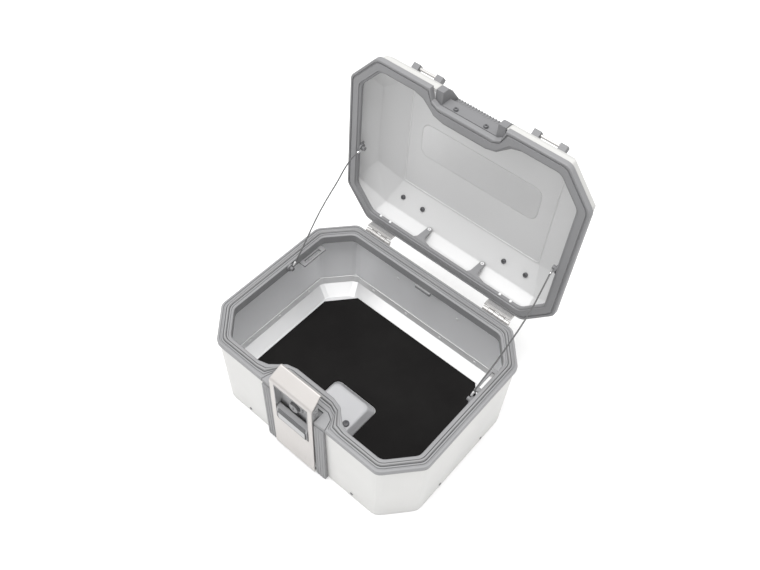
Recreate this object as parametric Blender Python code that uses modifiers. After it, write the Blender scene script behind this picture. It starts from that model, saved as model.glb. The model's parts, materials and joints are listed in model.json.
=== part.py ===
"""Aluminium motorcycle top case with its lid open, built as separate named pieces.

Frame: metres, +Z up, X across the case, the lock tower faces -Y, the lid hinges are at +Y.
The origin is the middle of the flat underside. The lid's pieces are modelled shut and hang
from an empty on the hinge axis, which then swings them open.
"""
import math

import bmesh
import bpy
from mathutils import Matrix, Vector

# ---------------------------------------------------------------- driving dimensions (metres)
GAP = 0.0003                      # clearance between pieces that touch

HALF_X = 0.215                    # rim, outer half width
HALF_Y = 0.1666                   # rim, outer half depth
CHAMFER_X = 0.0485                # rim corner chamfer along X
CHAMFER_Y = 0.055                 # rim corner chamfer along Y
RIM_WIDTH = 0.021                 # rim, outer edge to inner skirt
CORNER_ROUND = 0.016              # rounding of the eight rim corners
RIM_TOP = 0.168                   # top face of the base rim
SKIRT_DEPTH = 0.019               # inner skirt of the base rim below its top
BAND_HEIGHT = 0.0086              # outer band of both rims
LID_FACE = 0.172                  # underside of the lid rim when shut
LID_SKIRT_DEPTH = 0.0070          # inner skirt of the lid rim above its face

WALL = 0.0015                     # sheet thickness
WALL_INSET = 0.0026               # rim outer edge to wall, under the band
BASE_TAPER = 0.0028               # how far the walls lean in at the bottom

LID_TOP = 0.2405                  # outside of the lid's top panel
LID_WALL_TOP = 0.194              # where the lid's upright wall ends
SIDE_RIDGE = (0.1885, 0.2215)     # |x|, z of the crease along each side of the lid
REAR_RIDGE = (0.1525, 0.2165)     # y, z of the crease along the back
FRONT_RIDGE = (-0.1560, 0.2035)   # y, z of the crease along the front
TOP_X = 0.1435                    # half width of the top panel
TOP_Y = (-0.1085, 0.1060)         # front and rear edge of the top panel

HINGE_Y = 0.1760                  # lid hinge axis
HINGE_Z = 0.1595
HINGE_X = 0.1276                  # middle of each hinge
HINGE_HALF = 0.026                # half length of each hinge
KNUCKLE_R = 0.0040
PIN_R = 0.0018
LID_OPEN_DEG = 91.9

PLATE_HALF = 0.0435               # latch plate, half width
PLATE_FOOT = (-0.1716, 0.0045)    # y, z of the plate's lower front edge
PLATE_BEND = (-0.1700, 0.1955)    # y, z of the bend into the claw
CLAW_TIP = (-0.1462, 0.2120)      # y, z of the claw's rear edge
PLATE_T = 0.0018
LATCH_PIN = (-0.1690, 0.0075)     # y, z of the pin that the latch tilts on
WINDOW_HALF = 0.0345
WINDOW_Z = (0.0950, 0.1890)
BODY_HALF = 0.0430                # latch body behind the plate
BODY_BACK = -0.1555
BODY_Z = (0.0880, 0.1925)
LOCK_Z = 0.152                    # lock cylinder axis

NOTCH_HALF = 0.0605               # half width of the notch for the lock tower
NOTCH_WALL = 0.0830               # half width of the wall cut where the rims turn inward
NOTCH_BACK = -0.1415              # outer edge of the rims behind the tower

CABLE_R = 0.00125
CABLE_X = 0.1885
ANCHOR = (0.0225, 0.1575)         # y, z of the cable anchors on the base rim
BOSS = (0.0245, 0.1805)           # y, z of the cable bosses on the shut lid rim

RAIL_X = (0.0865, 0.1300)         # |x| of the two feet of each lashing rail
RAIL_FOOT = (0.0120, 0.0115, 0.0130)
RAIL_ROD_R = 0.0021


# ---------------------------------------------------------------- scene and materials
def clear_scene():
    for old in list(bpy.data.objects):
        bpy.data.objects.remove(old, do_unlink=True)


clear_scene()
PARTS = bpy.data.collections.new("top_case")
CUTTERS = bpy.data.collections.new("cutters")
bpy.context.scene.collection.children.link(PARTS)
bpy.context.scene.collection.children.link(CUTTERS)


def material(name, color, roughness, metallic):
    made = bpy.data.materials.new(name)
    made.use_nodes = True
    shader = made.node_tree.nodes["Principled BSDF"]
    shader.inputs["Base Color"].default_value = (*color, 1.0)
    shader.inputs["Roughness"].default_value = roughness
    shader.inputs["Metallic"].default_value = metallic
    made.diffuse_color = (*color, 1.0)
    return made


ALUMINIUM = material("brushed_aluminium", (0.80, 0.80, 0.79), 0.45, 0.6)
PAN_METAL = material("pan_aluminium", (0.72, 0.72, 0.72), 0.40, 0.6)
STEEL = material("brushed_steel", (0.68, 0.66, 0.64), 0.35, 0.8)
BRIGHT = material("bright_steel", (0.75, 0.75, 0.75), 0.25, 1.0)
GREY = material("grey_plastic", (0.25, 0.25, 0.26), 0.55, 0.0)
LIGHT_GREY = material("light_grey_plastic", (0.36, 0.36, 0.37), 0.55, 0.0)
DARK_GREY = material("dark_grey_plastic", (0.12, 0.12, 0.125), 0.55, 0.0)
SILVER = material("silver_plastic", (0.60, 0.60, 0.61), 0.40, 0.0)
RUBBER = material("black_rubber", (0.02, 0.02, 0.02), 0.90, 0.0)
MAT = material("black_mat", (0.012, 0.012, 0.012), 0.95, 0.0)


# ---------------------------------------------------------------- modelling helpers
def finish_object(name, mesh, finish, parent=None):
    made = bpy.data.objects.new(name, mesh)
    PARTS.objects.link(made)
    mesh.materials.clear()
    mesh.materials.append(finish)
    if parent is not None:
        made.parent = parent
        made.matrix_parent_inverse = parent_inverse(parent)
    return made


def parent_inverse(parent):
    """Children are modelled in world space at the parent's unturned place."""
    return Matrix.Translation(-Vector(parent.location))


def mesh_of(build, name):
    shape = bmesh.new()
    build(shape)
    bmesh.ops.recalc_face_normals(shape, faces=shape.faces)
    mesh = bpy.data.meshes.new(name)
    shape.to_mesh(mesh)
    shape.free()
    return mesh


def add_box(shape, low, high, turn=None):
    """A box between two corners, or about its own middle when it is turned."""
    size = Vector(high) - Vector(low)
    middle = (Vector(high) + Vector(low)) / 2
    place = Matrix.Translation(middle)
    if turn is not None:
        place = place @ turn
    bmesh.ops.create_cube(shape, size=1.0, matrix=place @ Matrix.Diagonal((*size, 1.0)))


def add_rod(shape, start, end, radius, sides=16, radius_end=None):
    """A capped cylinder or cone between two points."""
    start = Vector(start)
    run = Vector(end) - start
    turn = run.to_track_quat("Z", "Y").to_matrix().to_4x4()
    place = Matrix.Translation(start + run / 2) @ turn
    bmesh.ops.create_cone(shape, cap_ends=True, segments=sides, radius1=radius,
                          radius2=radius if radius_end is None else radius_end,
                          depth=run.length, matrix=place)


def add_prism(shape, outline, low_x, high_x):
    """A (y, z) outline drawn out along X."""
    rings = []
    for x in (low_x, high_x):
        rings.append([shape.verts.new((x, y, z)) for y, z in outline])
    shape.faces.new(rings[0])
    shape.faces.new(list(reversed(rings[1])))
    for i in range(len(outline)):
        j = (i + 1) % len(outline)
        shape.faces.new((rings[0][j], rings[0][i], rings[1][i], rings[1][j]))


def solid(name, finish, parent, *builders):
    """Overlapping simple solids joined into one closed body by Boolean unions."""
    made = finish_object(name, mesh_of(builders[0], name), finish, parent)
    for number, build in enumerate(builders[1:]):
        join(made, cutter(f"{name}_add_{number}", build), "UNION")
    return made


def add_to(target, name, *builders):
    """Union small details, such as rivet heads, onto a finished piece."""
    for number, build in enumerate(builders):
        join(target, cutter(f"{name}_{number}", build), "UNION")


def cutter(name, build):
    made = bpy.data.objects.new(name, mesh_of(build, name))
    CUTTERS.objects.link(made)
    made.hide_render = True
    made.display_type = "WIRE"
    return made


def join(target, other, operation):
    """Boolean with a cutter, which follows the target's parent."""
    if target.parent is not None:
        other.parent = target.parent
        other.matrix_parent_inverse = parent_inverse(target.parent)
    step = target.modifiers.new(operation.lower(), "BOOLEAN")
    step.operation = operation
    step.solver = "EXACT"
    step.object = other


def bevel(target, width, segments=2, angle=40.0):
    step = target.modifiers.new("bevel", "BEVEL")
    step.width = width
    step.segments = segments
    step.limit_method = "ANGLE"
    step.angle_limit = math.radians(angle)


def smooth(target, angle=35.0):
    target.data.shade_smooth()
    target.data.set_sharp_from_angle(angle=math.radians(angle))


def box(name, finish, parent, low, high, round_by=0.0, segments=2):
    made = finish_object(name, mesh_of(lambda s: add_box(s, low, high), name), finish, parent)
    if round_by > 0.0:
        bevel(made, round_by, segments)
    return made


def both_sides(half):
    """Outline points for x >= 0, front to back, completed by their mirror images."""
    mirrored = [(-x, y) for x, y in reversed(half) if abs(x) > 1e-9]
    return half + mirrored


def rounded(points, radius, steps, keep=()):
    """Replace each corner of a closed outline by an arc, except the listed corners."""
    out = []
    count = len(points)
    for i, here in enumerate(points):
        if i in keep:
            out.append(here)
            continue
        here_v = Vector(here)
        to_last = (Vector(points[i - 1]) - here_v).normalized()
        to_next = (Vector(points[(i + 1) % count]) - here_v).normalized()
        half_angle = to_last.angle(to_next) / 2
        cut = radius / math.tan(half_angle)
        centre = here_v + (to_last + to_next).normalized() * (radius / math.sin(half_angle))
        first = here_v + to_last * cut - centre
        last = here_v + to_next * cut - centre
        for k in range(steps + 1):
            part = first.slerp(last, k / steps) if steps else first
            out.append(tuple(centre + part.normalized() * radius))
    return out


# ---------------------------------------------------------------- plan outlines
def octagon(inset):
    """Case outline, moved in by inset on every side, as x >= 0 points front to back."""
    lean_x = inset * math.tan(0.5 * math.atan2(CHAMFER_X, CHAMFER_Y))
    lean_y = inset * math.tan(0.5 * math.atan2(CHAMFER_Y, CHAMFER_X))
    return [
        (HALF_X - CHAMFER_X - lean_y, -HALF_Y + inset),
        (HALF_X - inset, -HALF_Y + CHAMFER_Y + lean_x),
        (HALF_X - inset, HALF_Y - CHAMFER_Y - lean_x),
        (HALF_X - CHAMFER_X - lean_y, HALF_Y - inset),
    ]


NOTCH_OUTER = [(0.0500, NOTCH_BACK), (0.0605, -0.1475), (0.0640, -0.1580), (0.0660, -HALF_Y), (0.0800, -HALF_Y)]
NOTCH_INNER = [(0.0380, -0.1168), (0.0560, -0.1215), (0.0665, -0.1310), (0.0775, -0.1405), (0.0940, -0.1456)]


def rim_outline(inset):
    """Rim outline with the inward bulge round the lock tower, at an inset from its outer edge."""
    share = inset / RIM_WIDTH
    notch = []
    for outer, inner in zip(NOTCH_OUTER, NOTCH_INNER):
        notch.append(tuple(Vector(outer).lerp(Vector(inner), share)))
    half = notch + octagon(inset)
    whole = both_sides(half)
    plain = set(range(len(notch))) | set(range(len(whole) - len(notch), len(whole)))
    return rounded(whole, CORNER_ROUND, 3, keep=plain)


def ring_sweep(name, finish, parent, profile, outline):
    """A closed (inset, z) profile carried round a plan outline."""
    def build(shape):
        loops = [[shape.verts.new((x, y, z)) for x, y in outline(inset)] for inset, z in profile]
        for i, loop in enumerate(loops):
            after = loops[(i + 1) % len(loops)]
            for k in range(len(loop)):
                m = (k + 1) % len(loop)
                shape.faces.new((loop[k], loop[m], after[m], after[k]))
    return finish_object(name, mesh_of(build, name), finish, parent)


def flat_sheet(name, finish, parent, outline, low_z, high_z):
    """A flat outline as a filled 2D curve, turned into a closed mesh."""
    curve = bpy.data.curves.new(name, "CURVE")
    curve.dimensions = "2D"
    curve.fill_mode = "BOTH"
    curve.extrude = (high_z - low_z) / 2
    spline = curve.splines.new("POLY")
    spline.points.add(len(outline) - 1)
    for point, (x, y) in zip(spline.points, outline):
        point.co = (x, y, 0.0, 1.0)
    spline.use_cyclic_u = True
    return curve_to_mesh(name, curve, finish, parent, Matrix.Translation((0, 0, (low_z + high_z) / 2)))


def curve_to_mesh(name, curve, finish, parent, place):
    holder = bpy.data.objects.new(name + "_curve", curve)
    CUTTERS.objects.link(holder)
    bpy.context.view_layer.update()
    seen = holder.evaluated_get(bpy.context.evaluated_depsgraph_get())
    mesh = bpy.data.meshes.new_from_object(seen)
    bpy.data.objects.remove(holder)
    shape = bmesh.new()
    shape.from_mesh(mesh)
    bmesh.ops.remove_doubles(shape, verts=shape.verts, dist=0.00001)
    bmesh.ops.transform(shape, matrix=place, verts=shape.verts)
    bmesh.ops.recalc_face_normals(shape, faces=shape.faces)
    shape.to_mesh(mesh)
    shape.free()
    return finish_object(name, mesh, finish, parent)


def solidify(target, thickness, offset=-1.0):
    step = target.modifiers.new("solidify", "SOLIDIFY")
    step.thickness = thickness
    step.offset = offset
    step.use_even_offset = True


# ---------------------------------------------------------------- base: shell, pan, mat
def make_base_shell():
    levels = [(0.0, WALL_INSET + BASE_TAPER), (RIM_TOP - 0.0054, WALL_INSET)]

    def build(shape):
        loops = []
        for z, inset in levels:
            points = rounded(both_sides(octagon(inset)), CORNER_ROUND * 1.2, 2)
            loops.append([shape.verts.new((x, y, z)) for x, y in points])
        shape.faces.new(list(reversed(loops[0])))
        for k in range(len(loops[0])):
            m = (k + 1) % len(loops[0])
            shape.faces.new((loops[0][k], loops[0][m], loops[1][m], loops[1][k]))
    mesh = mesh_of(build, "base_shell")
    shell = finish_object("base_shell", mesh, ALUMINIUM, None)
    solidify(shell, WALL)
    body_hole = cutter("latch_body_hole", lambda s: add_box(
        s, (-PLATE_HALF - 0.0006, -0.18, 0.0790), (PLATE_HALF + 0.0006, -0.145, 0.18)))
    notch_hole = cutter("tower_notch", lambda s: add_box(
        s, (-NOTCH_WALL, -0.18, RIM_TOP - BAND_HEIGHT - 0.0008), (NOTCH_WALL, -0.145, 0.18)))
    join(shell, body_hole, "DIFFERENCE")
    join(shell, notch_hole, "DIFFERENCE")
    join(shell, CATCH_HOLE, "DIFFERENCE")
    return shell


def make_floor_pan():
    """Inner pan: a riveted flange on the walls, a sloped side and a flat floor."""
    profile = [(0.0078, 0.0360), (0.0080, 0.0190), (0.0300, 0.0023)]

    def build(shape):
        loops = []
        for inset, z in profile:
            points = rounded(both_sides(octagon(inset)), CORNER_ROUND * 0.8, 1)
            loops.append([shape.verts.new((x, y, z)) for x, y in points])
        for i in range(len(loops) - 1):
            for k in range(len(loops[i])):
                m = (k + 1) % len(loops[i])
                shape.faces.new((loops[i][k], loops[i][m], loops[i + 1][m], loops[i + 1][k]))
        shape.faces.new(loops[-1])
    mesh = mesh_of(build, "floor_pan")
    pan = finish_object("floor_pan", mesh, PAN_METAL, None)
    if mesh.polygons[-1].normal.z > 0:
        mesh.flip_normals()
    solidify(pan, 0.0011)
    join(pan, CATCH_HOLE, "DIFFERENCE")
    return pan


LOCK_BOX_HALF = 0.0460
LOCK_BOX_Y = (-0.1330, -0.0195)
LOCK_BOX_TOP = 0.0225


def make_mat():
    half_x = 0.1795
    half_y = 0.1365
    corner_x = 0.041
    corner_y = 0.048
    cut = LOCK_BOX_HALF + 0.0012
    cut_y = LOCK_BOX_Y[1] + 0.0012
    half = [
        (cut, -half_y),
        (half_x - corner_x, -half_y),
        (half_x, -half_y + corner_y),
        (half_x, half_y - corner_y),
        (half_x - corner_x, half_y),
    ]
    whole = half + [(-x, y) for x, y in reversed(half)] + [(-cut, cut_y), (cut, cut_y)]
    whole = rounded(whole, 0.0112, 4, keep=set(range(len(whole) - 2)))
    flat_sheet("floor_mat", MAT, None, whole, 0.0040, 0.0070)


def make_lock_box():
    """Cover over the carrier catch: a shallow pressed lid with soft edges, open below."""
    levels = [(0.0, 0.0049, 0.010), (0.0062, 0.0190, 0.011), (0.0076, 0.0213, 0.011), (0.0102, LOCK_BOX_TOP, 0.011)]

    def build(shape):
        loops = []
        for inset, z, radius in levels:
            half = LOCK_BOX_HALF - inset
            back = LOCK_BOX_Y[1] - inset * 1.5
            front = LOCK_BOX_Y[0] + inset * 0.2
            plan = rounded([(-half, front), (half, front), (half, back), (-half, back)], radius, 4)
            loops.append([shape.verts.new((x, y, z)) for x, y in plan])
        for lower, upper in zip(loops, loops[1:]):
            for k in range(len(lower)):
                m = (k + 1) % len(lower)
                shape.faces.new((lower[k], lower[m], upper[m], upper[k]))
        shape.faces.new(loops[-1])
    mesh = mesh_of(build, "lock_box_cover")
    cover = finish_object("lock_box_cover", mesh, SILVER, None)
    top = max(mesh.polygons, key=lambda face: face.center.z)
    if top.normal.z < 0:
        mesh.flip_normals()
    solidify(cover, 0.0018)
    smooth(cover)
    solid("lock_box_screw", DARK_GREY, None,
                 lambda s: add_rod(s, (0.0295, -0.0810, LOCK_BOX_TOP + GAP),
                                   (0.0295, -0.0810, LOCK_BOX_TOP + 0.0024), 0.0060, 20))


# ---------------------------------------------------------------- carrier catch in the floor
CATCH_Y = (-0.1000, -0.0640)
CATCH_HALF = 0.0170
CATCH_TRAVEL = 0.008
CATCH_HOLE = cutter("catch_hole", lambda s: add_box(
    s, (-CATCH_HALF - 0.001, CATCH_Y[0] - 0.0010, -0.01),
    (CATCH_HALF + 0.001, CATCH_Y[0] + 0.0095 + CATCH_TRAVEL, 0.0045)))


def make_carrier_catch():
    """Spring catch that grips the carrier plate through the floor."""
    catch = solid(
        "carrier_catch", BRIGHT, None,
        lambda s: add_box(s, (-CATCH_HALF, CATCH_Y[0], 0.0042), (CATCH_HALF, CATCH_Y[1], 0.0085)),
        lambda s: add_box(s, (-CATCH_HALF + 0.002, CATCH_Y[0], 0.0008),
                          (CATCH_HALF - 0.002, CATCH_Y[0] + 0.008, 0.0060)),
    )
    guide_low = 0.0040
    for side, name in ((-1, "catch_guide_left"), (1, "catch_guide_right")):
        inner = side * (CATCH_HALF + 0.0006)
        outer = side * (CATCH_HALF + 0.0060)
        low_x = min(inner, outer)
        high_x = max(inner, outer)
        box(name, DARK_GREY, None, (low_x, CATCH_Y[0] - 0.002, guide_low),
            (high_x, CATCH_Y[1] + CATCH_TRAVEL, 0.0100))
    stop_y = CATCH_Y[1] + CATCH_TRAVEL + 0.0110
    box("catch_spring_seat", DARK_GREY, None, (-0.010, stop_y, guide_low), (0.010, stop_y + 0.004, 0.0120))
    make_spring("catch_spring", (0.0, CATCH_Y[1] + GAP, 0.0066), stop_y - GAP, 0.0020, 0.0004, 7)
    return catch


def make_spring(name, start, end_y, radius, wire, turns):
    """Round-wire coil along Y."""
    curve = bpy.data.curves.new(name, "CURVE")
    curve.dimensions = "3D"
    curve.bevel_depth = wire
    curve.bevel_resolution = 1
    curve.use_fill_caps = True
    spline = curve.splines.new("POLY")
    steps = turns * 10
    spline.points.add(steps)
    low = start[1] + wire
    high = end_y - wire
    for i, point in enumerate(spline.points):
        angle = 2 * math.pi * i / 10
        along = low + (high - low) * i / steps
        point.co = (start[0] + radius * math.cos(angle), along, start[2] + radius * math.sin(angle), 1.0)
    curve_to_mesh(name, curve, BRIGHT, None, Matrix.Identity(4))


# ---------------------------------------------------------------- base rim, seal, fittings
def rim_profile(face, up, skirt):
    """Rim section: outer band, ridged face with a flat for the seal, inner skirt.

    face is the level of the sealing face, up is +1 when the rim's body is above it and
    skirt is how far the inner skirt reaches past the face.
    """
    back = face + up * 0.0050
    low = 0.0018 * -up
    return [
        (0.0, face + up * BAND_HEIGHT),
        (0.0, face + up * 0.0010),
        (0.0010, face),
        (0.0036, face),
        (0.0042, face - low),
        (0.0060, face - low),
        (0.0066, face),
        (0.0086, face),
        (0.0092, face + up * SEAL_SINK),
        (0.0142, face + up * SEAL_SINK),
        (0.0148, face),
        (0.0168, face),
        (0.0174, face - low),
        (0.0194, face - low),
        (RIM_WIDTH, face + up * 0.0030),
        (RIM_WIDTH, face + up * skirt),
        (RIM_WIDTH - 0.0018, face + up * skirt),
        (RIM_WIDTH - 0.0018, back),
        (0.0022, back),
        (0.0022, face + up * BAND_HEIGHT),
    ]


SEAL_SINK = 0.0026


def make_base_rim():
    rim = ring_sweep("base_rim", GREY, None, rim_profile(RIM_TOP, -1, SKIRT_DEPTH), rim_outline)
    smooth(rim, 25)
    seal = [(0.0096, RIM_TOP - SEAL_SINK + GAP), (0.0138, RIM_TOP - SEAL_SINK + GAP),
            (0.0138, RIM_TOP), (0.0127, RIM_TOP + 0.0022), (0.0107, RIM_TOP + 0.0022), (0.0096, RIM_TOP)]
    bead = ring_sweep("base_seal", RUBBER, None, seal, rim_outline)
    smooth(bead, 50)
    skirt_low = RIM_TOP - SKIRT_DEPTH
    box("rear_rim_clip", GREY, None, (-0.0160, HALF_Y - RIM_WIDTH - 0.0032, skirt_low - 0.0074),
        (0.0160, HALF_Y - RIM_WIDTH + 0.0020, skirt_low - GAP), 0.0010, 1)


def make_strap_loops():
    """Slotted strap loops under the side skirts of the rim."""
    inner = HALF_X - RIM_WIDTH
    top = RIM_TOP - SKIRT_DEPTH - GAP
    for side, name in ((-1, "strap_loop_left"), (1, "strap_loop_right")):
        plate_low = (min(side * (inner - 0.0125), side * (inner + 0.003)), 0.0460, top - 0.0032)
        plate_high = (max(side * (inner - 0.0125), side * (inner + 0.003)), 0.0980, top)
        loop = box(name, GREY, None, plate_low, plate_high)
        slot_a = side * (inner - 0.0092)
        slot_b = side * (inner - 0.0030)
        slot = cutter(name + "_slot", lambda s, a=slot_a, b=slot_b: add_box(
            s, (min(a, b), 0.0540, top - 0.01), (max(a, b), 0.0900, top + 0.01)))
        join(loop, slot, "DIFFERENCE")


def make_cable_anchor(name, side, y, z, parent):
    """Round foot on a rim skirt with a swivel eye for the cable."""
    skirt = HALF_X - RIM_WIDTH - GAP
    return solid(
        name, GREY, parent,
        lambda s: add_rod(s, (side * skirt, y, z), (side * (skirt - 0.0028), y, z), 0.0076, 20, 0.0066),
        lambda s: add_rod(s, (side * (skirt - 0.0020), y, z), (side * (skirt - 0.0082), y, z), 0.0036, 16),
    )


# ---------------------------------------------------------------- rivets
def rivet(place, outward, radius=0.0022, height=0.0010):
    """Builder for a low domed head sunk a little into the face it sits on."""
    start = Vector(place) - Vector(outward) * 0.0006
    end = Vector(place) + Vector(outward) * height
    return lambda s: add_rod(s, start, end, radius, 12, radius * 0.6)


def wall_y(z, inner):
    """Y of the rear wall at a height, outside or inside."""
    lean = BASE_TAPER * (1 - z / (RIM_TOP - 0.0054))
    depth = HALF_Y - WALL_INSET - lean
    return depth - WALL if inner else depth


def wall_x(z, inner):
    return wall_y(z, inner) - HALF_Y + HALF_X


def rivet_base(shell, pan):
    """Rivet heads of the pan's flange, the rear wall and the outside of the foot."""
    flange = 0.0275
    pan_y = HALF_Y - 0.0079 - 0.0011
    pan_x = HALF_X - 0.0079 - 0.0011
    heads = []
    for x in (-0.118, -0.0395, 0.0395, 0.118):
        heads.append(rivet((x, pan_y, flange), (0, -1, 0)))
        if abs(x) > 0.1:
            heads.append(rivet((x, -pan_y, flange), (0, 1, 0)))
    for side in (-1, 1):
        for y in (-0.075, 0.0, 0.075):
            heads.append(rivet((side * pan_x, y, flange), (-side, 0, 0)))
    add_to(pan, "pan_rivet", *heads)

    heads = []
    for x in (-0.066, 0.066):
        heads.append(rivet((x, wall_y(0.105, True), 0.105), (0, -1, 0), 0.0028))
    z = 0.0095
    for x in (-0.115, 0.115):
        for face in (-1, 1):
            heads.append(rivet((x, face * wall_y(z, False), z), (0, face, 0), 0.0026))
    for y in (-0.055, 0.055):
        for face in (-1, 1):
            heads.append(rivet((face * wall_x(z, False), y, z), (face, 0, 0), 0.0026))
    add_to(shell, "shell_rivet", *heads)


# ---------------------------------------------------------------- latch tower on the base
def make_latch_housing():
    """Tub behind the wall opening that keeps the latch outside the seal."""
    low_z = 0.0740
    high_z = RIM_TOP - SKIRT_DEPTH - GAP
    front = -wall_y(low_z, True) + 0.0004
    back = -0.1395
    half = 0.0500
    tub = box("latch_housing", GREY, None, (-half, front, low_z), (half, back, high_z))
    hollow = cutter("latch_housing_hollow", lambda s: add_box(
        s, (-half + 0.0030, front - 0.01, low_z + 0.0022), (half - 0.0030, back - 0.0022, high_z + 0.01)))
    join(tub, hollow, "DIFFERENCE")


def make_latch_surround():
    """Collar round the latch body, level with the rim and inside its bulge."""
    inner = PLATE_HALF + 0.0010
    back = -0.1462
    half = [(inner, -0.1672), (0.0652, -0.1662), (0.0633, -0.1580), (0.0598, -0.1480), (0.0497, -0.1421)]
    whole = half + [(-x, y) for x, y in reversed(half)] + [(-inner, back), (inner, back)]
    flat_sheet("latch_surround", GREY, None, whole, RIM_TOP - BAND_HEIGHT - 0.0001, RIM_TOP - 0.0006)


def make_trims():
    """Upright grey strips on the wall beside the latch plate."""
    low = PLATE_HALF + 0.0010
    high = 0.0645
    top = 0.1585
    outline = [(-0.1688, 0.0), (-0.1690, top), (-wall_y(top, False) - GAP, top),
               (-wall_y(0.0, False) - GAP, 0.0)]
    for side, name in ((-1, "latch_trim_left"), (1, "latch_trim_right")):
        ends = sorted((side * low, side * high))
        strip = finish_object(name, mesh_of(lambda s: add_prism(s, outline, ends[0], ends[1]), name),
                              LIGHT_GREY, None)
        bevel(strip, 0.0012, 2)


def make_latch_pin():
    """Pin at the foot of the plate, held in the two trims' feet."""
    y, z = LATCH_PIN
    solid("latch_pin", BRIGHT, None,
                 lambda s: add_rod(s, (-PLATE_HALF - 0.0006, y + 0.0020, z), (PLATE_HALF + 0.0006, y + 0.0020, z),
                                   0.0014, 12))


def offset_outline(points, thickness):
    """Close an open (y, z) line into a strip by moving it sideways."""
    moved = []
    for i, here in enumerate(points):
        here_v = Vector(here)
        ways = []
        if i > 0:
            ways.append((here_v - Vector(points[i - 1])).normalized())
        if i < len(points) - 1:
            ways.append((Vector(points[i + 1]) - here_v).normalized())
        normals = [Vector((way.y, -way.x)) for way in ways]
        middle = sum(normals, Vector((0.0, 0.0))).normalized()
        moved.append(tuple(here_v + middle * thickness / middle.dot(normals[0])))
    return points + list(reversed(moved))


def fillet(points, radii, steps=4):
    """Round the inner corners of an open (y, z) line."""
    out = [points[0]]
    for i, radius in enumerate(radii):
        last, here, after = (Vector(p) for p in points[i:i + 3])
        to_last = (last - here).normalized()
        to_next = (after - here).normalized()
        half_angle = to_last.angle(to_next) / 2
        cut = radius / math.tan(half_angle)
        centre = here + (to_last + to_next).normalized() * (radius / math.sin(half_angle))
        first = here + to_last * cut - centre
        final = here + to_next * cut - centre
        for k in range(steps + 1):
            out.append(tuple(centre + first.slerp(final, k / steps).normalized() * radius))
    out.append(points[-1])
    return out


def make_latch():
    pin = bpy.data.objects.new("latch_axis", None)
    pin.location = (0.0, LATCH_PIN[0], LATCH_PIN[1])
    PARTS.objects.link(pin)

    edge = (CLAW_TIP[0] + 0.0026, CLAW_TIP[1] - 0.0034)
    line = fillet([PLATE_FOOT, PLATE_BEND, CLAW_TIP, edge], (0.0075, 0.0022))
    strip = offset_outline(line, PLATE_T)
    plate = finish_object("latch_plate", mesh_of(
        lambda s: add_prism(s, strip, -PLATE_HALF, PLATE_HALF), "latch_plate"), STEEL, pin)
    for vert in plate.data.vertices:
        rise = max(0.0, vert.co.z - PLATE_BEND[1])
        vert.co.x *= 1.0 - 0.075 * min(1.0, rise / (CLAW_TIP[1] - PLATE_BEND[1]))
    smooth(plate, 30)
    window = cutter("plate_window", lambda s: add_box(
        s, (-WINDOW_HALF, -0.19, WINDOW_Z[0]), (WINDOW_HALF, -0.16, WINDOW_Z[1])))
    join(plate, window, "DIFFERENCE")

    front = -0.1677
    body = box("latch_body", GREY, pin, (-BODY_HALF, front, BODY_Z[0]), (BODY_HALF, BODY_BACK, BODY_Z[1]))
    recess = cutter("body_recess", lambda s: add_box(
        s, (-WINDOW_HALF + 0.001, front - 0.01, 0.0945), (WINDOW_HALF - 0.001, BODY_BACK - 0.0025, 0.1875)))
    join(body, recess, "DIFFERENCE")
    bore = cutter("cylinder_bore", lambda s: add_rod(
        s, (0, -0.18, LOCK_Z), (0, -0.14, LOCK_Z), 0.0093, 24))
    join(body, bore, "DIFFERENCE")
    make_lever(pin)
    make_lock(pin)
    return pin


LEVER_AXIS = (-0.1660, 0.1000)


def make_lever(latch):
    """Pull lever in the lower half of the window, hinged along its lower edge."""
    axis = bpy.data.objects.new("lever_axis", None)
    axis.location = (0.0, LEVER_AXIS[0], LEVER_AXIS[1])
    PARTS.objects.link(axis)
    axis.parent = latch
    axis.matrix_parent_inverse = parent_inverse(latch)
    outline = [(-0.1712, 0.0990), (-0.1722, 0.1190), (-0.1700, 0.1270), (-0.1640, 0.1320),
               (-0.1622, 0.1305), (-0.1670, 0.1250), (-0.1678, 0.1040), (-0.1640, 0.1035),
               (-0.1640, 0.0975), (-0.1700, 0.0975)]
    lever = finish_object("pull_lever", mesh_of(
        lambda s: add_prism(s, outline, -WINDOW_HALF + 0.0018, WINDOW_HALF - 0.0018), "pull_lever"),
        DARK_GREY, axis)
    smooth(lever, 30)
    box("name_plate", BRIGHT, axis, (-0.0285, -0.1733, 0.1015), (0.0285, -0.1722 - GAP, 0.1170), 0.0003, 1)


def make_lock(latch):
    """Key cylinder with a tongue at its back end."""
    axis = bpy.data.objects.new("lock_axis", None)
    axis.location = (0.0, -0.1640, LOCK_Z)
    PARTS.objects.link(axis)
    axis.parent = latch
    axis.matrix_parent_inverse = parent_inverse(latch)
    lock = solid(
        "lock_cylinder", BRIGHT, axis,
        lambda s: add_rod(s, (0, -0.1658, LOCK_Z), (0, BODY_BACK + 0.0012, LOCK_Z), 0.0090, 24),
        lambda s: add_box(s, (-0.0035, BODY_BACK + 0.0004, LOCK_Z - 0.0180),
                          (0.0035, BODY_BACK + 0.0018, LOCK_Z + 0.0030)),
    )
    slot = cutter("key_slot", lambda s: add_box(
        s, (-0.0007, -0.18, LOCK_Z - 0.0040), (0.0007, -0.1638, LOCK_Z + 0.0040)))
    join(lock, slot, "DIFFERENCE")


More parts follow.
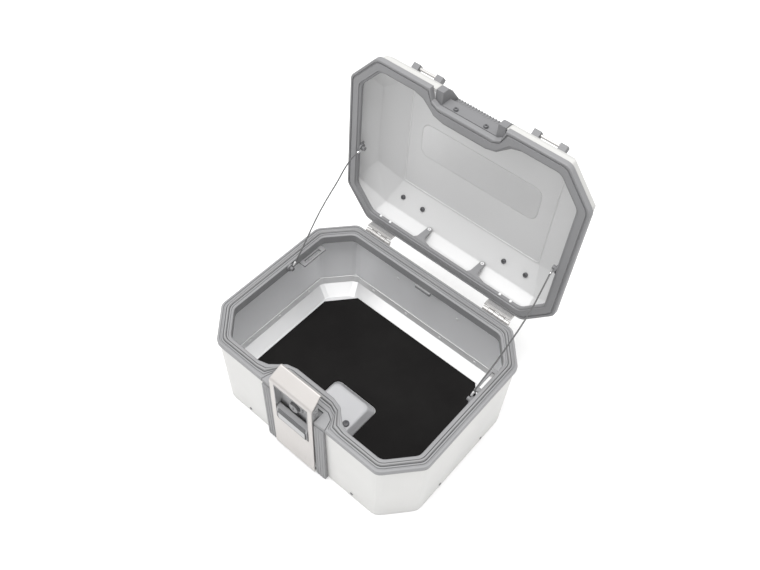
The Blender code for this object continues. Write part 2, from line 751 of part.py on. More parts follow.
# ---------------------------------------------------------------- hinges
def knuckles(segments, y, z, centre_x, turn):
    """Builders for some of the five knuckles of a hinge and their webs."""
    length = 2 * HINGE_HALF / 5
    made = []
    for index in segments:
        low = centre_x - HINGE_HALF + index * length + GAP / 2
        high = low + length - GAP
        made.append(lambda s, a=low, b=high: add_rod(s, (a, y, z), (b, y, z), KNUCKLE_R, 16))
        if turn > 0:
            made.append(lambda s, a=low, b=high: add_box(s, (a, HALF_Y + GAP, z + 0.0005), (b, y - 0.0010, z + 0.0160)))
        else:
            made.append(lambda s, a=low, b=high: add_box(s, (a, HALF_Y + GAP, z - 0.0036), (b, y - 0.0010, z - 0.0004)))
    return made


def make_hinges(lid):
    leaf_low = HALF_Y + GAP
    leaf_high = leaf_low + 0.0016
    tray_top = HINGE_Z - KNUCKLE_R - 0.0006
    for side, word in ((-1, "left"), (1, "right")):
        x = side * HINGE_X
        bore = (lambda s, c=x: add_rod(s, (c - 0.03, HINGE_Y, HINGE_Z), (c + 0.03, HINGE_Y, HINGE_Z),
                                       PIN_R + 0.0004, 16))
        base = solid(f"hinge_base_{word}", BRIGHT, None,
                     lambda s, c=x: add_box(s, (c - HINGE_HALF, leaf_low, 0.1380),
                                            (c + HINGE_HALF, leaf_high, HINGE_Z - 0.0004)),
                     lambda s, c=x: add_box(s, (c - HINGE_HALF, leaf_low, HINGE_Z - 0.0036),
                                            (c + HINGE_HALF, HINGE_Y - KNUCKLE_R - 0.0006, HINGE_Z - 0.0002)),
                     lambda s, c=x: add_box(s, (c - HINGE_HALF, leaf_low, tray_top - 0.0016),
                                            (c + HINGE_HALF, HINGE_Y + KNUCKLE_R * 0.7, tray_top)),
                     *knuckles((0, 2, 4), HINGE_Y, HINGE_Z, x, -1))
        join(base, cutter(f"hinge_base_{word}_bore", bore), "DIFFERENCE")
        add_to(base, f"hinge_base_{word}_screw",
               *[rivet((x + dx, leaf_high, 0.1460), (0, 1, 0), 0.0034, 0.0016) for dx in (-0.0106, 0.0106)])
        leaf = solid(f"hinge_lid_{word}", BRIGHT, lid,
                     lambda s, c=x: add_box(s, (c - HINGE_HALF, leaf_low, HINGE_Z + 0.0014),
                                            (c + HINGE_HALF, leaf_high + 0.0012, LID_FACE + 0.0190)),
                     *knuckles((1, 3), HINGE_Y, HINGE_Z, x, 1))
        join(leaf, cutter(f"hinge_lid_{word}_bore", bore), "DIFFERENCE")
        add_to(leaf, f"hinge_lid_{word}_screw",
               *[rivet((x + dx, leaf_high + 0.0012, 0.1840), (0, 1, 0), 0.0034, 0.0016) for dx in (-0.0106, 0.0106)])
        solid(f"hinge_pin_{word}", STEEL, None,
              lambda s, c=x: add_rod(s, (c - HINGE_HALF - 0.0006, HINGE_Y, HINGE_Z),
                                     (c + HINGE_HALF + 0.0006, HINGE_Y, HINGE_Z), PIN_R, 14))


# ---------------------------------------------------------------- lid
def lid_corners():
    """Corner points of the lid skin for x >= 0, front to back, level by level."""
    seat = [(x, y, LID_FACE + 0.0054) for x, y in octagon(WALL_INSET + 0.0019)]
    wall = [(x, y, LID_WALL_TOP) for x, y in octagon(WALL_INSET + 0.0020)]
    ridge = [
        (0.1580, FRONT_RIDGE[0], FRONT_RIDGE[1]),
        (SIDE_RIDGE[0], -0.0800, SIDE_RIDGE[1]),
        (SIDE_RIDGE[0], 0.0760, SIDE_RIDGE[1]),
        (0.1600, REAR_RIDGE[0], REAR_RIDGE[1]),
    ]
    top = [(TOP_X, TOP_Y[0], LID_TOP), (TOP_X, TOP_Y[1], LID_TOP)]
    return seat, wall, ridge, top


def make_lid_shell(lid):
    seat, wall, ridge, top = lid_corners()

    def build(shape):
        rows = []
        for row in (seat, wall, ridge, top):
            right = [shape.verts.new(p) for p in row]
            left = [shape.verts.new((-p[0], p[1], p[2])) for p in row]
            rows.append((right, left))
        for upper, lower in ((1, 0), (2, 1)):
            for k in range(2):
                a = rows[lower][k]
                b = rows[upper][k]
                shape.faces.new((a[1], a[2], b[2], b[1]))
            for i in (0, 3):
                right = rows[lower][0]
                left = rows[lower][1]
                high_right = rows[upper][0]
                high_left = rows[upper][1]
                shape.faces.new((left[i], right[i], high_right[i], high_left[i]))
        for k in range(2):
            seat_v, wall_v, ridge_v, top_v = (rows[n][k] for n in range(4))
            shape.faces.new((seat_v[0], seat_v[1], wall_v[1], wall_v[0]))
            shape.faces.new((seat_v[2], seat_v[3], wall_v[3], wall_v[2]))
            for outer, side, crown in ((0, 1, 0), (3, 2, 1)):
                shape.faces.new((wall_v[side], wall_v[outer], ridge_v[outer]))
                shape.faces.new((wall_v[side], ridge_v[outer], ridge_v[side]))
                shape.faces.new((ridge_v[side], ridge_v[outer], top_v[crown]))
            shape.faces.new((ridge_v[1], ridge_v[2], top_v[1], top_v[0]))
        shape.faces.new((rows[2][1][0], rows[2][0][0], rows[3][0][0], rows[3][1][0]))
        shape.faces.new((rows[2][0][3], rows[2][1][3], rows[3][1][1], rows[3][0][1]))
        shape.faces.new((rows[3][0][0], rows[3][0][1], rows[3][1][1], rows[3][1][0]))
    mesh = mesh_of(build, "lid_shell")
    crown = max(mesh.polygons, key=lambda face: face.center.z)
    if crown.normal.z < 0:
        mesh.flip_normals()
    shell = finish_object("lid_shell", mesh, ALUMINIUM, lid)
    solidify(shell, WALL)
    notch = cutter("lid_notch", lambda s: add_box(
        s, (-NOTCH_HALF - 0.0004, -0.19, 0.15), (NOTCH_HALF + 0.0004, POCKET_BACK + 0.0031, 0.25)))
    seat_notch = cutter("lid_seat_notch", lambda s: add_box(
        s, (-NOTCH_WALL, -0.19, 0.15), (NOTCH_WALL, -0.1290, LID_FACE + BAND_HEIGHT + 0.0008)))
    join(shell, notch, "DIFFERENCE")
    join(shell, seat_notch, "DIFFERENCE")


def front_skin(y):
    """Height of the lid's front slope above a given y."""
    share = (y - FRONT_RIDGE[0]) / (TOP_Y[0] - FRONT_RIDGE[0])
    return FRONT_RIDGE[1] + share * (LID_TOP - FRONT_RIDGE[1])


POCKET_WALL = -0.1425
POCKET_BACK = -0.1297


def make_lid_pocket(lid):
    """Plastic recess in the lid's front that takes the claw: a lip, a back wall and two cheeks."""
    foot = LID_FACE + BAND_HEIGHT + GAP
    crest = front_skin(POCKET_BACK)
    section = [(POCKET_WALL, foot), (POCKET_WALL, 0.2010), (POCKET_WALL + 0.0100, 0.2058),
               (POCKET_BACK, crest), (POCKET_BACK + 0.0026, crest), (POCKET_BACK + 0.0020, 0.2045),
               (POCKET_WALL + 0.0022, 0.1990), (POCKET_WALL + 0.0022, foot)]
    cheek = [(-HALF_Y + WALL_INSET + 0.0006, foot), (-HALF_Y + WALL_INSET + 0.0006, LID_WALL_TOP),
             (FRONT_RIDGE[0] + GAP, FRONT_RIDGE[1]), (POCKET_BACK, crest), (POCKET_BACK, foot)]
    inner = PLATE_HALF + 0.0042
    pocket = solid(
        "lid_latch_pocket", GREY, lid,
        lambda s: add_prism(s, section, -NOTCH_HALF + 0.0005, NOTCH_HALF - 0.0005),
        lambda s: add_prism(s, cheek, -NOTCH_HALF, -inner),
        lambda s: add_prism(s, cheek, inner, NOTCH_HALF),
    )

    for x, word in ((-0.0264, "left"), (0.0264, "right")):
        solid(f"pocket_screw_{word}", DARK_GREY, lid,
              lambda s, a=x: add_rod(s, (a, POCKET_WALL - GAP, 0.1858), (a, POCKET_WALL - 0.0018, 0.1858),
                                     0.0038, 16))
    return pocket


def make_lid_hooks(lid):
    """Slim triangular ears with an eye, for an elastic net across the lid."""
    skirt_top = LID_FACE + LID_SKIRT_DEPTH + GAP
    back = HALF_Y - RIM_WIDTH
    eye_z = 0.2105
    for side, word in ((-1, "left"), (1, "right")):
        eye_x = side * 0.0568
        foot = (eye_x - 0.0095, eye_x + 0.0250)
        plan = [(foot[0], skirt_top), (foot[1], skirt_top), (eye_x + 0.0125, skirt_top + 0.0042),
                (eye_x + 0.0070, skirt_top + 0.0092), (eye_x + 0.0049, eye_z - 0.0010)]
        for k in range(7):
            angle = math.radians(-10 + 200 * k / 6)
            plan.append((eye_x + 0.0050 * math.cos(angle), eye_z + 0.0050 * math.sin(angle)))
        plan.append((eye_x - 0.0049, eye_z - 0.0010))
        plan.append((eye_x - 0.0056, skirt_top + 0.0060))

        def build(shape, points=plan):
            rings = [[shape.verts.new((x, y, z)) for x, z in points] for y in (back, back + 0.0018)]
            shape.faces.new(rings[0])
            shape.faces.new(list(reversed(rings[1])))
            for i in range(len(points)):
                j = (i + 1) % len(points)
                shape.faces.new((rings[0][j], rings[0][i], rings[1][i], rings[1][j]))
        ear = finish_object(f"lid_hook_{word}", mesh_of(build, f"lid_hook_{word}"), GREY, lid)
        eye = cutter(f"lid_hook_{word}_eye", lambda s, x=eye_x: add_rod(
            s, (x, back - 0.01, eye_z), (x, back + 0.01, eye_z), 0.0024, 12))
        join(ear, eye, "DIFFERENCE")


def make_rails(lid):
    """Four lashing rails: two feet and a rod each, on the front and rear slopes of the lid."""
    front_tilt = math.atan2(LID_TOP - FRONT_RIDGE[1], TOP_Y[0] - FRONT_RIDGE[0])
    rear_tilt = -math.atan2(LID_TOP - REAR_RIDGE[1], REAR_RIDGE[0] - TOP_Y[1])
    front_y = -0.1365
    rear_y = 0.1300
    rear_share = (REAR_RIDGE[0] - rear_y) / (REAR_RIDGE[0] - TOP_Y[1])
    rear_z = REAR_RIDGE[1] + rear_share * (LID_TOP - REAR_RIDGE[1])
    places = (("front", front_y, front_skin(front_y), front_tilt), ("rear", rear_y, rear_z, rear_tilt))
    for word, y, z, tilt in places:
        turn = Matrix.Rotation(tilt, 4, "X")
        up = turn @ Vector((0, 0, 1))
        for side, hand in ((-1, "left"), (1, "right")):
            builders = []
            for x in RAIL_X:
                middle = Vector((side * x, y, z)) + up * (RAIL_FOOT[2] / 2 + GAP)
                half = Vector(RAIL_FOOT) / 2
                builders.append(lambda s, m=middle, h=half, t=turn: add_box(s, m - h, m + h, t))
            start = Vector((side * RAIL_X[0], y, z)) + up * (RAIL_FOOT[2] - 0.0040)
            end = Vector((side * RAIL_X[1], y, z)) + up * (RAIL_FOOT[2] - 0.0040)
            builders.append(lambda s, a=start, b=end: add_rod(s, a, b, RAIL_ROD_R, 12))
            solid(f"rail_{word}_{hand}", GREY, lid, *builders)
            for x, end_word in zip(RAIL_X, ("inner", "outer")):
                seat = Vector((side * x, y, z)) - up * (WALL + 0.0004)
                solid(f"rail_screw_{word}_{hand}_{end_word}", DARK_GREY, lid,
                      lambda s, a=seat, u=up: add_rod(s, a, a - u * 0.0022, 0.0042, 16))


def make_lid():
    lid = bpy.data.objects.new("lid_axis", None)
    lid.location = (0.0, HINGE_Y, HINGE_Z)
    PARTS.objects.link(lid)
    rim = ring_sweep("lid_rim", GREY, lid, lid_rim_profile(), rim_outline)
    smooth(rim, 25)
    inner = HALF_X - RIM_WIDTH
    tabs = []
    for side in (-1, 1):
        ends = sorted((side * (inner + 0.0001), side * (inner + 0.0017)))
        tabs.append(lambda s, a=ends[0], b=ends[1]: add_box(
            s, (a, BOSS[0] - 0.0080, LID_FACE + 0.0040), (b, BOSS[0] + 0.0080, BOSS[1] + 0.0078)))
    add_to(rim, "boss_tab", *tabs)
    make_lid_shell(lid)
    make_lid_pocket(lid)
    make_lid_hooks(lid)
    make_rails(lid)
    for side, word in ((-1, "left"), (1, "right")):
        make_cable_anchor(f"cable_boss_{word}", side, BOSS[0], BOSS[1], lid)
    return lid


def lid_rim_profile():
    """The base rim's section turned over, with a flat that presses the seal."""
    section = rim_profile(LID_FACE, 1, LID_SKIRT_DEPTH)
    flat = [(inset, LID_FACE if abs(z - LID_FACE - SEAL_SINK) < 1e-9 else z) for inset, z in section]
    return [point for i, point in enumerate(flat) if point != flat[i - 1]]


# ---------------------------------------------------------------- retaining cables
CABLE_ROUTE = [
    (0.1885, 0.1968, 0.3102),
    (0.1900, 0.1870, 0.3090),
    (0.1918, 0.1765, 0.3040),
    (0.1938, 0.1620, 0.2905),
    (0.1952, 0.1440, 0.2700),
    (0.1958, 0.1190, 0.2480),
    (0.1948, 0.0940, 0.2260),
    (0.1928, 0.0697, 0.2017),
    (0.1900, 0.0470, 0.1810),
    (0.1887, 0.0256, 0.1609),
]


def smooth_route(points, steps):
    """Catmull-Rom curve through the route's points."""
    out = []
    line = [Vector(p) for p in points]
    padded = [line[0] * 2 - line[1]] + line + [line[-1] * 2 - line[-2]]
    for i in range(1, len(padded) - 2):
        a, b, c, d = padded[i - 1:i + 3]
        for k in range(steps):
            t = k / steps
            out.append(0.5 * (2 * b + (c - a) * t + (2 * a - 5 * b + 4 * c - d) * t * t
                              + (3 * b - a - 3 * c + d) * t ** 3))
    out.append(line[-1])
    return out


def make_cables():
    for side, word in ((-1, "left"), (1, "right")):
        curve = bpy.data.curves.new(f"cable_{word}", "CURVE")
        curve.dimensions = "3D"
        curve.bevel_depth = CABLE_R
        curve.bevel_resolution = 2
        curve.use_fill_caps = True
        spline = curve.splines.new("POLY")
        route = smooth_route(CABLE_ROUTE, 3)
        spline.points.add(len(route) - 1)
        for point, place in zip(spline.points, route):
            point.co = (side * place.x, place.y, place.z, 1.0)
        curve_to_mesh(f"cable_{word}", curve, STEEL, None, Matrix.Identity(4))


# ---------------------------------------------------------------- assembly
BASE = make_base_shell()
PAN = make_floor_pan()
make_mat()
make_lock_box()
make_carrier_catch()
make_base_rim()
make_strap_loops()
rivet_base(BASE, PAN)
make_latch_housing()
make_latch_surround()
make_trims()
make_latch_pin()
for hand, label in ((-1, "left"), (1, "right")):
    make_cable_anchor(f"cable_anchor_{label}", hand, ANCHOR[0], ANCHOR[1], None)
make_latch()
LID = make_lid()
make_hinges(LID)
make_cables()
LID.rotation_euler = (math.radians(-LID_OPEN_DEG), 0.0, 0.0)
bpy.context.view_layer.update()
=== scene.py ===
"""Looks for an aluminium motorcycle top case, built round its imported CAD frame.

Every class holds the sizes of one sub-assembly in metres, in the CAD frame: +Z up, the latch
tower faces -Y and the lid hinges are at +Y. Lid pieces are drawn on the shut lid and swung open
with it before they ride on the lid's body.
"""

import json
import logging
import math
from dataclasses import dataclass, field
from enum import Enum
from typing import Callable, Iterable, Sequence

import bmesh
import bpy
from mathutils import Matrix, Vector


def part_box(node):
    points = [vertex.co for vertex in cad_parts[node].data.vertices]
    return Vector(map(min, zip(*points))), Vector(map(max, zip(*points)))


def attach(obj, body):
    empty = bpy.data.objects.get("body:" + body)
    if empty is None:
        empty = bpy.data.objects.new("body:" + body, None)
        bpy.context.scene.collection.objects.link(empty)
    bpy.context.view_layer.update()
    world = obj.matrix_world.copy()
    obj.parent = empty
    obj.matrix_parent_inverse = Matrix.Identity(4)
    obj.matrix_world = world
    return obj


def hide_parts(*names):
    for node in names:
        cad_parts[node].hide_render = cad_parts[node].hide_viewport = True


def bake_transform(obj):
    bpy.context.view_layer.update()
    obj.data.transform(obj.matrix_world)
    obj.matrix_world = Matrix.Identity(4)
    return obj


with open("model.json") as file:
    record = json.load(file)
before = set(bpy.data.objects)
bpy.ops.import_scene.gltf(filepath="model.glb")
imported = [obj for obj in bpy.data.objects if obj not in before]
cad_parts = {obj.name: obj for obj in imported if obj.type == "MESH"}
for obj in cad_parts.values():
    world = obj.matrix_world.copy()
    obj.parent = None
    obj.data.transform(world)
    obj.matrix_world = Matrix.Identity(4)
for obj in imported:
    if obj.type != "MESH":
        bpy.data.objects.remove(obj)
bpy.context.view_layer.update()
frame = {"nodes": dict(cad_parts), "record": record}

LOG = logging.getLogger("top_case")
Point = tuple[float, float, float]
Colour = tuple[float, float, float]


class Grain(Enum):
    """Which surface structure a finish has."""

    BRUSHED_X = "brushed along x"
    BRUSHED_Z = "brushed along z"
    MOULDED = "moulded plastic grain"
    RUBBER = "ribbed rubber"
    FELTED = "fine felted mat"
    TURNED = "turned bright metal"


@dataclass(frozen=True)
class Finish:
    """One procedural surface finish."""

    name: str
    colour: Colour
    second: Colour
    roughness: float
    spread: float
    metallic: float
    grain: Grain
    bump: float
    # inner is a lighter colour for faces that look towards inner_centre: painted light for the shade inside a
    # shell, not a second finish of the metal.
    inner: Colour | None = None
    inner_centre: Point = (0.0, 0.0, 0.0)
    coat: float = 0.0
    specular: float = 0.5
    edge: float = 0.0008

    def build(self) -> bpy.types.Material:
        """Make the node material.

        Returns:
            The finished Blender material.
        """
        made = bpy.data.materials.new(self.name)
        made.use_nodes = True
        tree = made.node_tree
        shader = tree.nodes["Principled BSDF"]
        shader.inputs["Metallic"].default_value = self.metallic
        shader.inputs["Coat Weight"].default_value = self.coat
        shader.inputs["Specular IOR Level"].default_value = self.specular
        coords = tree.nodes.new("ShaderNodeTexCoord")
        blotch = self._noise(tree, coords, (1.0, 1.0, 1.0), 9.0, 4.0)
        streak = self._streaks(tree, coords)
        colour = self._mix_colour(tree, blotch, self.colour, self.second)
        # Painted light: inward-looking faces get the lighter inner colour to make up for the shade inside the
        # shell.
        if self.inner is not None:
            colour = self._paint_inside_light(tree, coords, colour)
        tree.links.new(colour, shader.inputs["Base Color"])
        tree.links.new(self._roughness(tree, streak), shader.inputs["Roughness"])
        tree.links.new(self._bump(tree, streak), shader.inputs["Normal"])
        made.diffuse_color = (*self.colour, 1.0)
        return made

    @staticmethod
    def _noise(tree: bpy.types.NodeTree, coords: bpy.types.Node, stretch: Point, scale: float,
               detail: float) -> bpy.types.NodeSocket:
        """Add a stretched noise texture.

        Args:
            tree: The material's node tree.
            coords: Its texture coordinate node.
            stretch: Scale of the pattern along each axis.
            scale: Overall scale of the pattern, per metre.
            detail: Octaves of detail.

        Returns:
            The noise's factor output.
        """
        mapping = tree.nodes.new("ShaderNodeMapping")
        mapping.inputs["Scale"].default_value = stretch
        noise = tree.nodes.new("ShaderNodeTexNoise")
        noise.inputs["Scale"].default_value = scale
        noise.inputs["Detail"].default_value = detail
        tree.links.new(coords.outputs["Object"], mapping.inputs["Vector"])
        tree.links.new(mapping.outputs["Vector"], noise.inputs["Vector"])
        return noise.outputs["Fac"]

    def _streaks(self, tree: bpy.types.NodeTree, coords: bpy.types.Node) -> bpy.types.NodeSocket:
        """Add the fine structure that drives bump and roughness.

        Args:
            tree: The material's node tree.
            coords: Its texture coordinate node.

        Returns:
            The pattern's factor output.
        """
        shapes: dict[Grain, tuple[Point, float, float]] = {
            Grain.BRUSHED_X: ((0.03, 1.0, 1.0), 900.0, 3.0),
            Grain.BRUSHED_Z: ((1.0, 1.0, 0.03), 900.0, 3.0),
            Grain.MOULDED: ((1.0, 1.0, 1.0), 1500.0, 2.0),
            Grain.RUBBER: ((1.0, 1.0, 1.0), 700.0, 3.0),
            Grain.FELTED: ((1.0, 1.0, 1.0), 1100.0, 5.0),
            Grain.TURNED: ((1.0, 1.0, 1.0), 500.0, 2.0),
        }
        stretch, scale, detail = shapes[self.grain]
        return self._noise(tree, coords, stretch, scale, detail)

    @staticmethod
    def _mix_colour(tree: bpy.types.NodeTree, factor: bpy.types.NodeSocket, first: Colour,
                    second: Colour) -> bpy.types.NodeSocket:
        """Blend two colours by a pattern.

        Args:
            tree: The material's node tree.
            factor: The pattern.
            first: Colour where the pattern is low.
            second: Colour where it is high.

        Returns:
            The blended colour output.
        """
        ramp = tree.nodes.new("ShaderNodeValToRGB")
        ramp.color_ramp.elements[0].position = 0.35
        ramp.color_ramp.elements[1].position = 0.65
        ramp.color_ramp.elements[0].color = (*first, 1.0)
        ramp.color_ramp.elements[1].color = (*second, 1.0)
        tree.links.new(factor, ramp.inputs["Fac"])
        return ramp.outputs["Color"]

    def _paint_inside_light(self, tree: bpy.types.NodeTree, coords: bpy.types.Node,
                    outer: bpy.types.NodeSocket) -> bpy.types.NodeSocket:
        """Give the faces that look towards the inside of a shell the lighter inner colour: painted light that
        makes up for the shade inside the shell.

        Args:
            tree: The material's node tree.
            coords: Its texture coordinate node.
            outer: Colour of the outside.

        Returns:
            The colour output for the whole shell.
        """
        offset = tree.nodes.new("ShaderNodeVectorMath")
        offset.operation = "SUBTRACT"
        offset.inputs[1].default_value = self.inner_centre
        facing = tree.nodes.new("ShaderNodeVectorMath")
        facing.operation = "DOT_PRODUCT"
        inside = tree.nodes.new("ShaderNodeMath")
        inside.operation = "LESS_THAN"
        inside.inputs[1].default_value = 0.0
        mix = tree.nodes.new("ShaderNodeMix")
        mix.data_type = "RGBA"
        mix.inputs["B"].default_value = (*self.inner, 1.0)
        tree.links.new(coords.outputs["Object"], offset.inputs[0])
        tree.links.new(offset.outputs["Vector"], facing.inputs[0])
        tree.links.new(coords.outputs["Normal"], facing.inputs[1])
        tree.links.new(facing.outputs["Value"], inside.inputs[0])
        tree.links.new(inside.outputs["Value"], mix.inputs["Factor"])
        tree.links.new(outer, mix.inputs["A"])
        return mix.outputs["Result"]

    def _roughness(self, tree: bpy.types.NodeTree, pattern: bpy.types.NodeSocket) -> bpy.types.NodeSocket:
        """Vary the roughness by the fine pattern.

        Args:
            tree: The material's node tree.
            pattern: The fine pattern.

        Returns:
            The roughness output.
        """
        spread = tree.nodes.new("ShaderNodeMapRange")
        spread.inputs["To Min"].default_value = self.roughness - self.spread
        spread.inputs["To Max"].default_value = self.roughness + self.spread
        tree.links.new(pattern, spread.inputs["Value"])
        return spread.outputs["Result"]

    def _bump(self, tree: bpy.types.NodeTree, pattern: bpy.types.NodeSocket) -> bpy.types.NodeSocket:
        """Turn the fine pattern into relief.

        Args:
            tree: The material's node tree.
            pattern: The fine pattern.

        Returns:
            The normal output.
        """
        bump = tree.nodes.new("ShaderNodeBump")
        bump.inputs["Strength"].default_value = 0.6
        bump.inputs["Distance"].default_value = self.bump
        if self.edge > 0.0:
            soft = tree.nodes.new("ShaderNodeBevel")
            soft.samples = 6
            soft.inputs["Radius"].default_value = self.edge
            tree.links.new(soft.outputs["Normal"], bump.inputs["Normal"])
        tree.links.new(pattern, bump.inputs["Height"])
        return bump.outputs["Normal"]


# Base and lid are one aluminium; their lighter inner colours are painted light for the shaded inside of each
# shell.
BASE_SKIN = Finish("base_aluminium", (0.60, 0.596, 0.585), (0.57, 0.567, 0.557), 0.50, 0.06, 0.20,
                   Grain.BRUSHED_X, 0.00003, inner=(0.87, 0.873, 0.885),
                   inner_centre=(0.0, 0.0, 0.09), edge=0.0030)
LID_SKIN = Finish("lid_aluminium", (0.49, 0.488, 0.475), (0.465, 0.463, 0.451), 0.50, 0.06, 0.12,
                  Grain.BRUSHED_X, 0.00003, inner=(0.65, 0.65, 0.65),
                  inner_centre=(0.0, 0.21, 0.33), edge=0.0040)
PAN_SKIN = Finish("pan_aluminium", (0.80, 0.80, 0.80), (0.76, 0.76, 0.765), 0.36, 0.05, 0.5,
                  Grain.BRUSHED_X, 0.00002)
LATCH_STEEL = Finish("latch_steel", (0.51, 0.489, 0.474), (0.48, 0.46, 0.446), 0.38, 0.08, 0.55,
                     Grain.BRUSHED_Z, 0.00003)
FITTING_STEEL = Finish("fitting_steel", (0.70, 0.70, 0.70), (0.62, 0.62, 0.625), 0.28, 0.06, 0.9,
                       Grain.TURNED, 0.00002)
CABLE_STEEL = Finish("cable_steel", (0.13, 0.13, 0.13), (0.10, 0.10, 0.102), 0.45, 0.05, 0.3,
                     Grain.TURNED, 0.00002)
RIM_PLASTIC = Finish("rim_plastic", (0.245, 0.245, 0.25), (0.225, 0.225, 0.23), 0.50, 0.06, 0.0,
                     Grain.MOULDED, 0.00006)
TRIM_PLASTIC = Finish("trim_plastic", (0.225, 0.225, 0.23), (0.21, 0.21, 0.215), 0.48, 0.06, 0.0,
                      Grain.MOULDED, 0.00006)
DARK_PLASTIC = Finish("dark_plastic", (0.10, 0.10, 0.105), (0.085, 0.085, 0.09), 0.45, 0.06, 0.0,
                      Grain.MOULDED, 0.00005)
COVER_PLASTIC = Finish("cover_plastic", (0.46, 0.46, 0.47), (0.43, 0.43, 0.44), 0.38, 0.05, 0.1,
                       Grain.MOULDED, 0.00004, coat=0.15)
# Bright rivet metal; on the pan edge bead this brightness is a painted highlight.
BRIGHT_STEEL_AND_EDGE_HIGHLIGHT = Finish("bright_rivets_and_edge_highlight", (0.90, 0.90, 0.90), (0.84, 0.84, 0.84), 0.30, 0.05, 0.3,
                      Grain.TURNED, 0.00001)
LOCK_METAL = Finish("lock_metal", (0.20, 0.20, 0.205), (0.17, 0.17, 0.175), 0.42, 0.06, 0.3,
                    Grain.TURNED, 0.00002)
HINGE_METAL = Finish("hinge_metal", (0.56, 0.55, 0.54), (0.50, 0.49, 0.48), 0.34, 0.08, 0.5,
                     Grain.BRUSHED_X, 0.00003)
# Brighter than the lid's inner colour: painted highlight on the pressed lines.
LID_HIGHLIGHT_LINE = Finish("pressed_line_highlight", (0.80, 0.80, 0.80), (0.74, 0.74, 0.74), 0.34, 0.05, 0.35,
                  Grain.BRUSHED_X, 0.00001)
LID_PRESSING = Finish("pressed_panel", (0.67, 0.67, 0.67), (0.64, 0.64, 0.64), 0.44, 0.06, 0.3,
                      Grain.BRUSHED_X, 0.00002)
DARK_TRIM = Finish("dark_trim", (0.27, 0.27, 0.275), (0.25, 0.25, 0.255), 0.45, 0.06, 0.0,
                   Grain.MOULDED, 0.00005)
NAME_PLATE = Finish("name_plate_blank", (0.42, 0.42, 0.425), (0.40, 0.40, 0.405), 0.40, 0.05, 0.3,
                    Grain.BRUSHED_X, 0.00002)
LID_FITTINGS = Finish("lid_fittings", (0.17, 0.17, 0.175), (0.155, 0.155, 0.16), 0.50, 0.06, 0.0,
                      Grain.MOULDED, 0.00006)
BODY_PLASTIC = Finish("latch_body_plastic", (0.33, 0.33, 0.335), (0.31, 0.31, 0.315), 0.42, 0.06, 0.0,
                      Grain.MOULDED, 0.00005)
LID_RIM = Finish("lid_rim_plastic", (0.205, 0.205, 0.21), (0.19, 0.19, 0.195), 0.50, 0.06, 0.0,
                 Grain.MOULDED, 0.00006)
SEAL_RUBBER = Finish("seal_rubber", (0.25, 0.25, 0.253), (0.23, 0.23, 0.233), 0.62, 0.06, 0.0,
                     Grain.RUBBER, 0.00006)
FLOOR_MAT = Finish("mat_rubber", (0.0115, 0.0110, 0.0108), (0.0085, 0.0080, 0.0080), 0.95, 0.04, 0.0,
                   Grain.FELTED, 0.00018, specular=0.12)


class Palette:
    """Builds each finish once and hands out its material."""

    def __init__(self) -> None:
        """Start with no materials made."""
        self._made: dict[str, bpy.types.Material] = {}

    def material(self, finish: Finish) -> bpy.types.Material:
        """Return the finish's material, made on first use.

        Args:
            finish: The finish wanted.

        Returns:
            Its material.
        """
        if finish.name not in self._made:
            self._made[finish.name] = finish.build()
        return self._made[finish.name]


SLOTS: dict[str, Finish] = {
    "aluminium_skin": BASE_SKIN,
    "pan_metal": PAN_SKIN,
    "latch_steel": LATCH_STEEL,
    "bright_steel": FITTING_STEEL,
    "grey_plastic": RIM_PLASTIC,
    "light_grey_plastic": TRIM_PLASTIC,
    "dark_grey_plastic": DARK_PLASTIC,
    "silver_plastic": COVER_PLASTIC,
    "seal_rubber": SEAL_RUBBER,
    "mat_rubber": FLOOR_MAT,
}
SPECIAL: dict[str, Finish] = {
    "lid_shell": LID_SKIN,
    "lid_rim": LID_RIM,
    "name_plate": NAME_PLATE,
    "latch_body": BODY_PLASTIC,
    "pull_lever": DARK_TRIM,
    "lock_cylinder": LOCK_METAL,
    "lid_latch_pocket": LID_FITTINGS,
}
PAIRED: dict[str, Finish] = {
    "rail_front": LID_FITTINGS,
    "rail_rear": LID_FITTINGS,
    "cable_anchor": LID_FITTINGS,
    "cable_boss": LID_FITTINGS,
    "hinge_lid": HINGE_METAL,
    "hinge_base": HINGE_METAL,
}
SPECIAL.update({f"{part}_{hand}": finish for part, finish in PAIRED.items() for hand in ("left", "right")})


@dataclass
class Hinge:
    """The lid's hinge axis, which carries shut-lid shapes to the open lid."""

    y: float = 0.176
    z: float = 0.1595
    open_degrees: float = 91.9

    def opened(self) -> Matrix:
        """Return the transform from the shut lid to the open lid."""
        pivot = Matrix.Translation((0.0, self.y, self.z))
        swing = Matrix.Rotation(math.radians(-self.open_degrees), 4, "X")
        return pivot @ swing @ pivot.inverted()


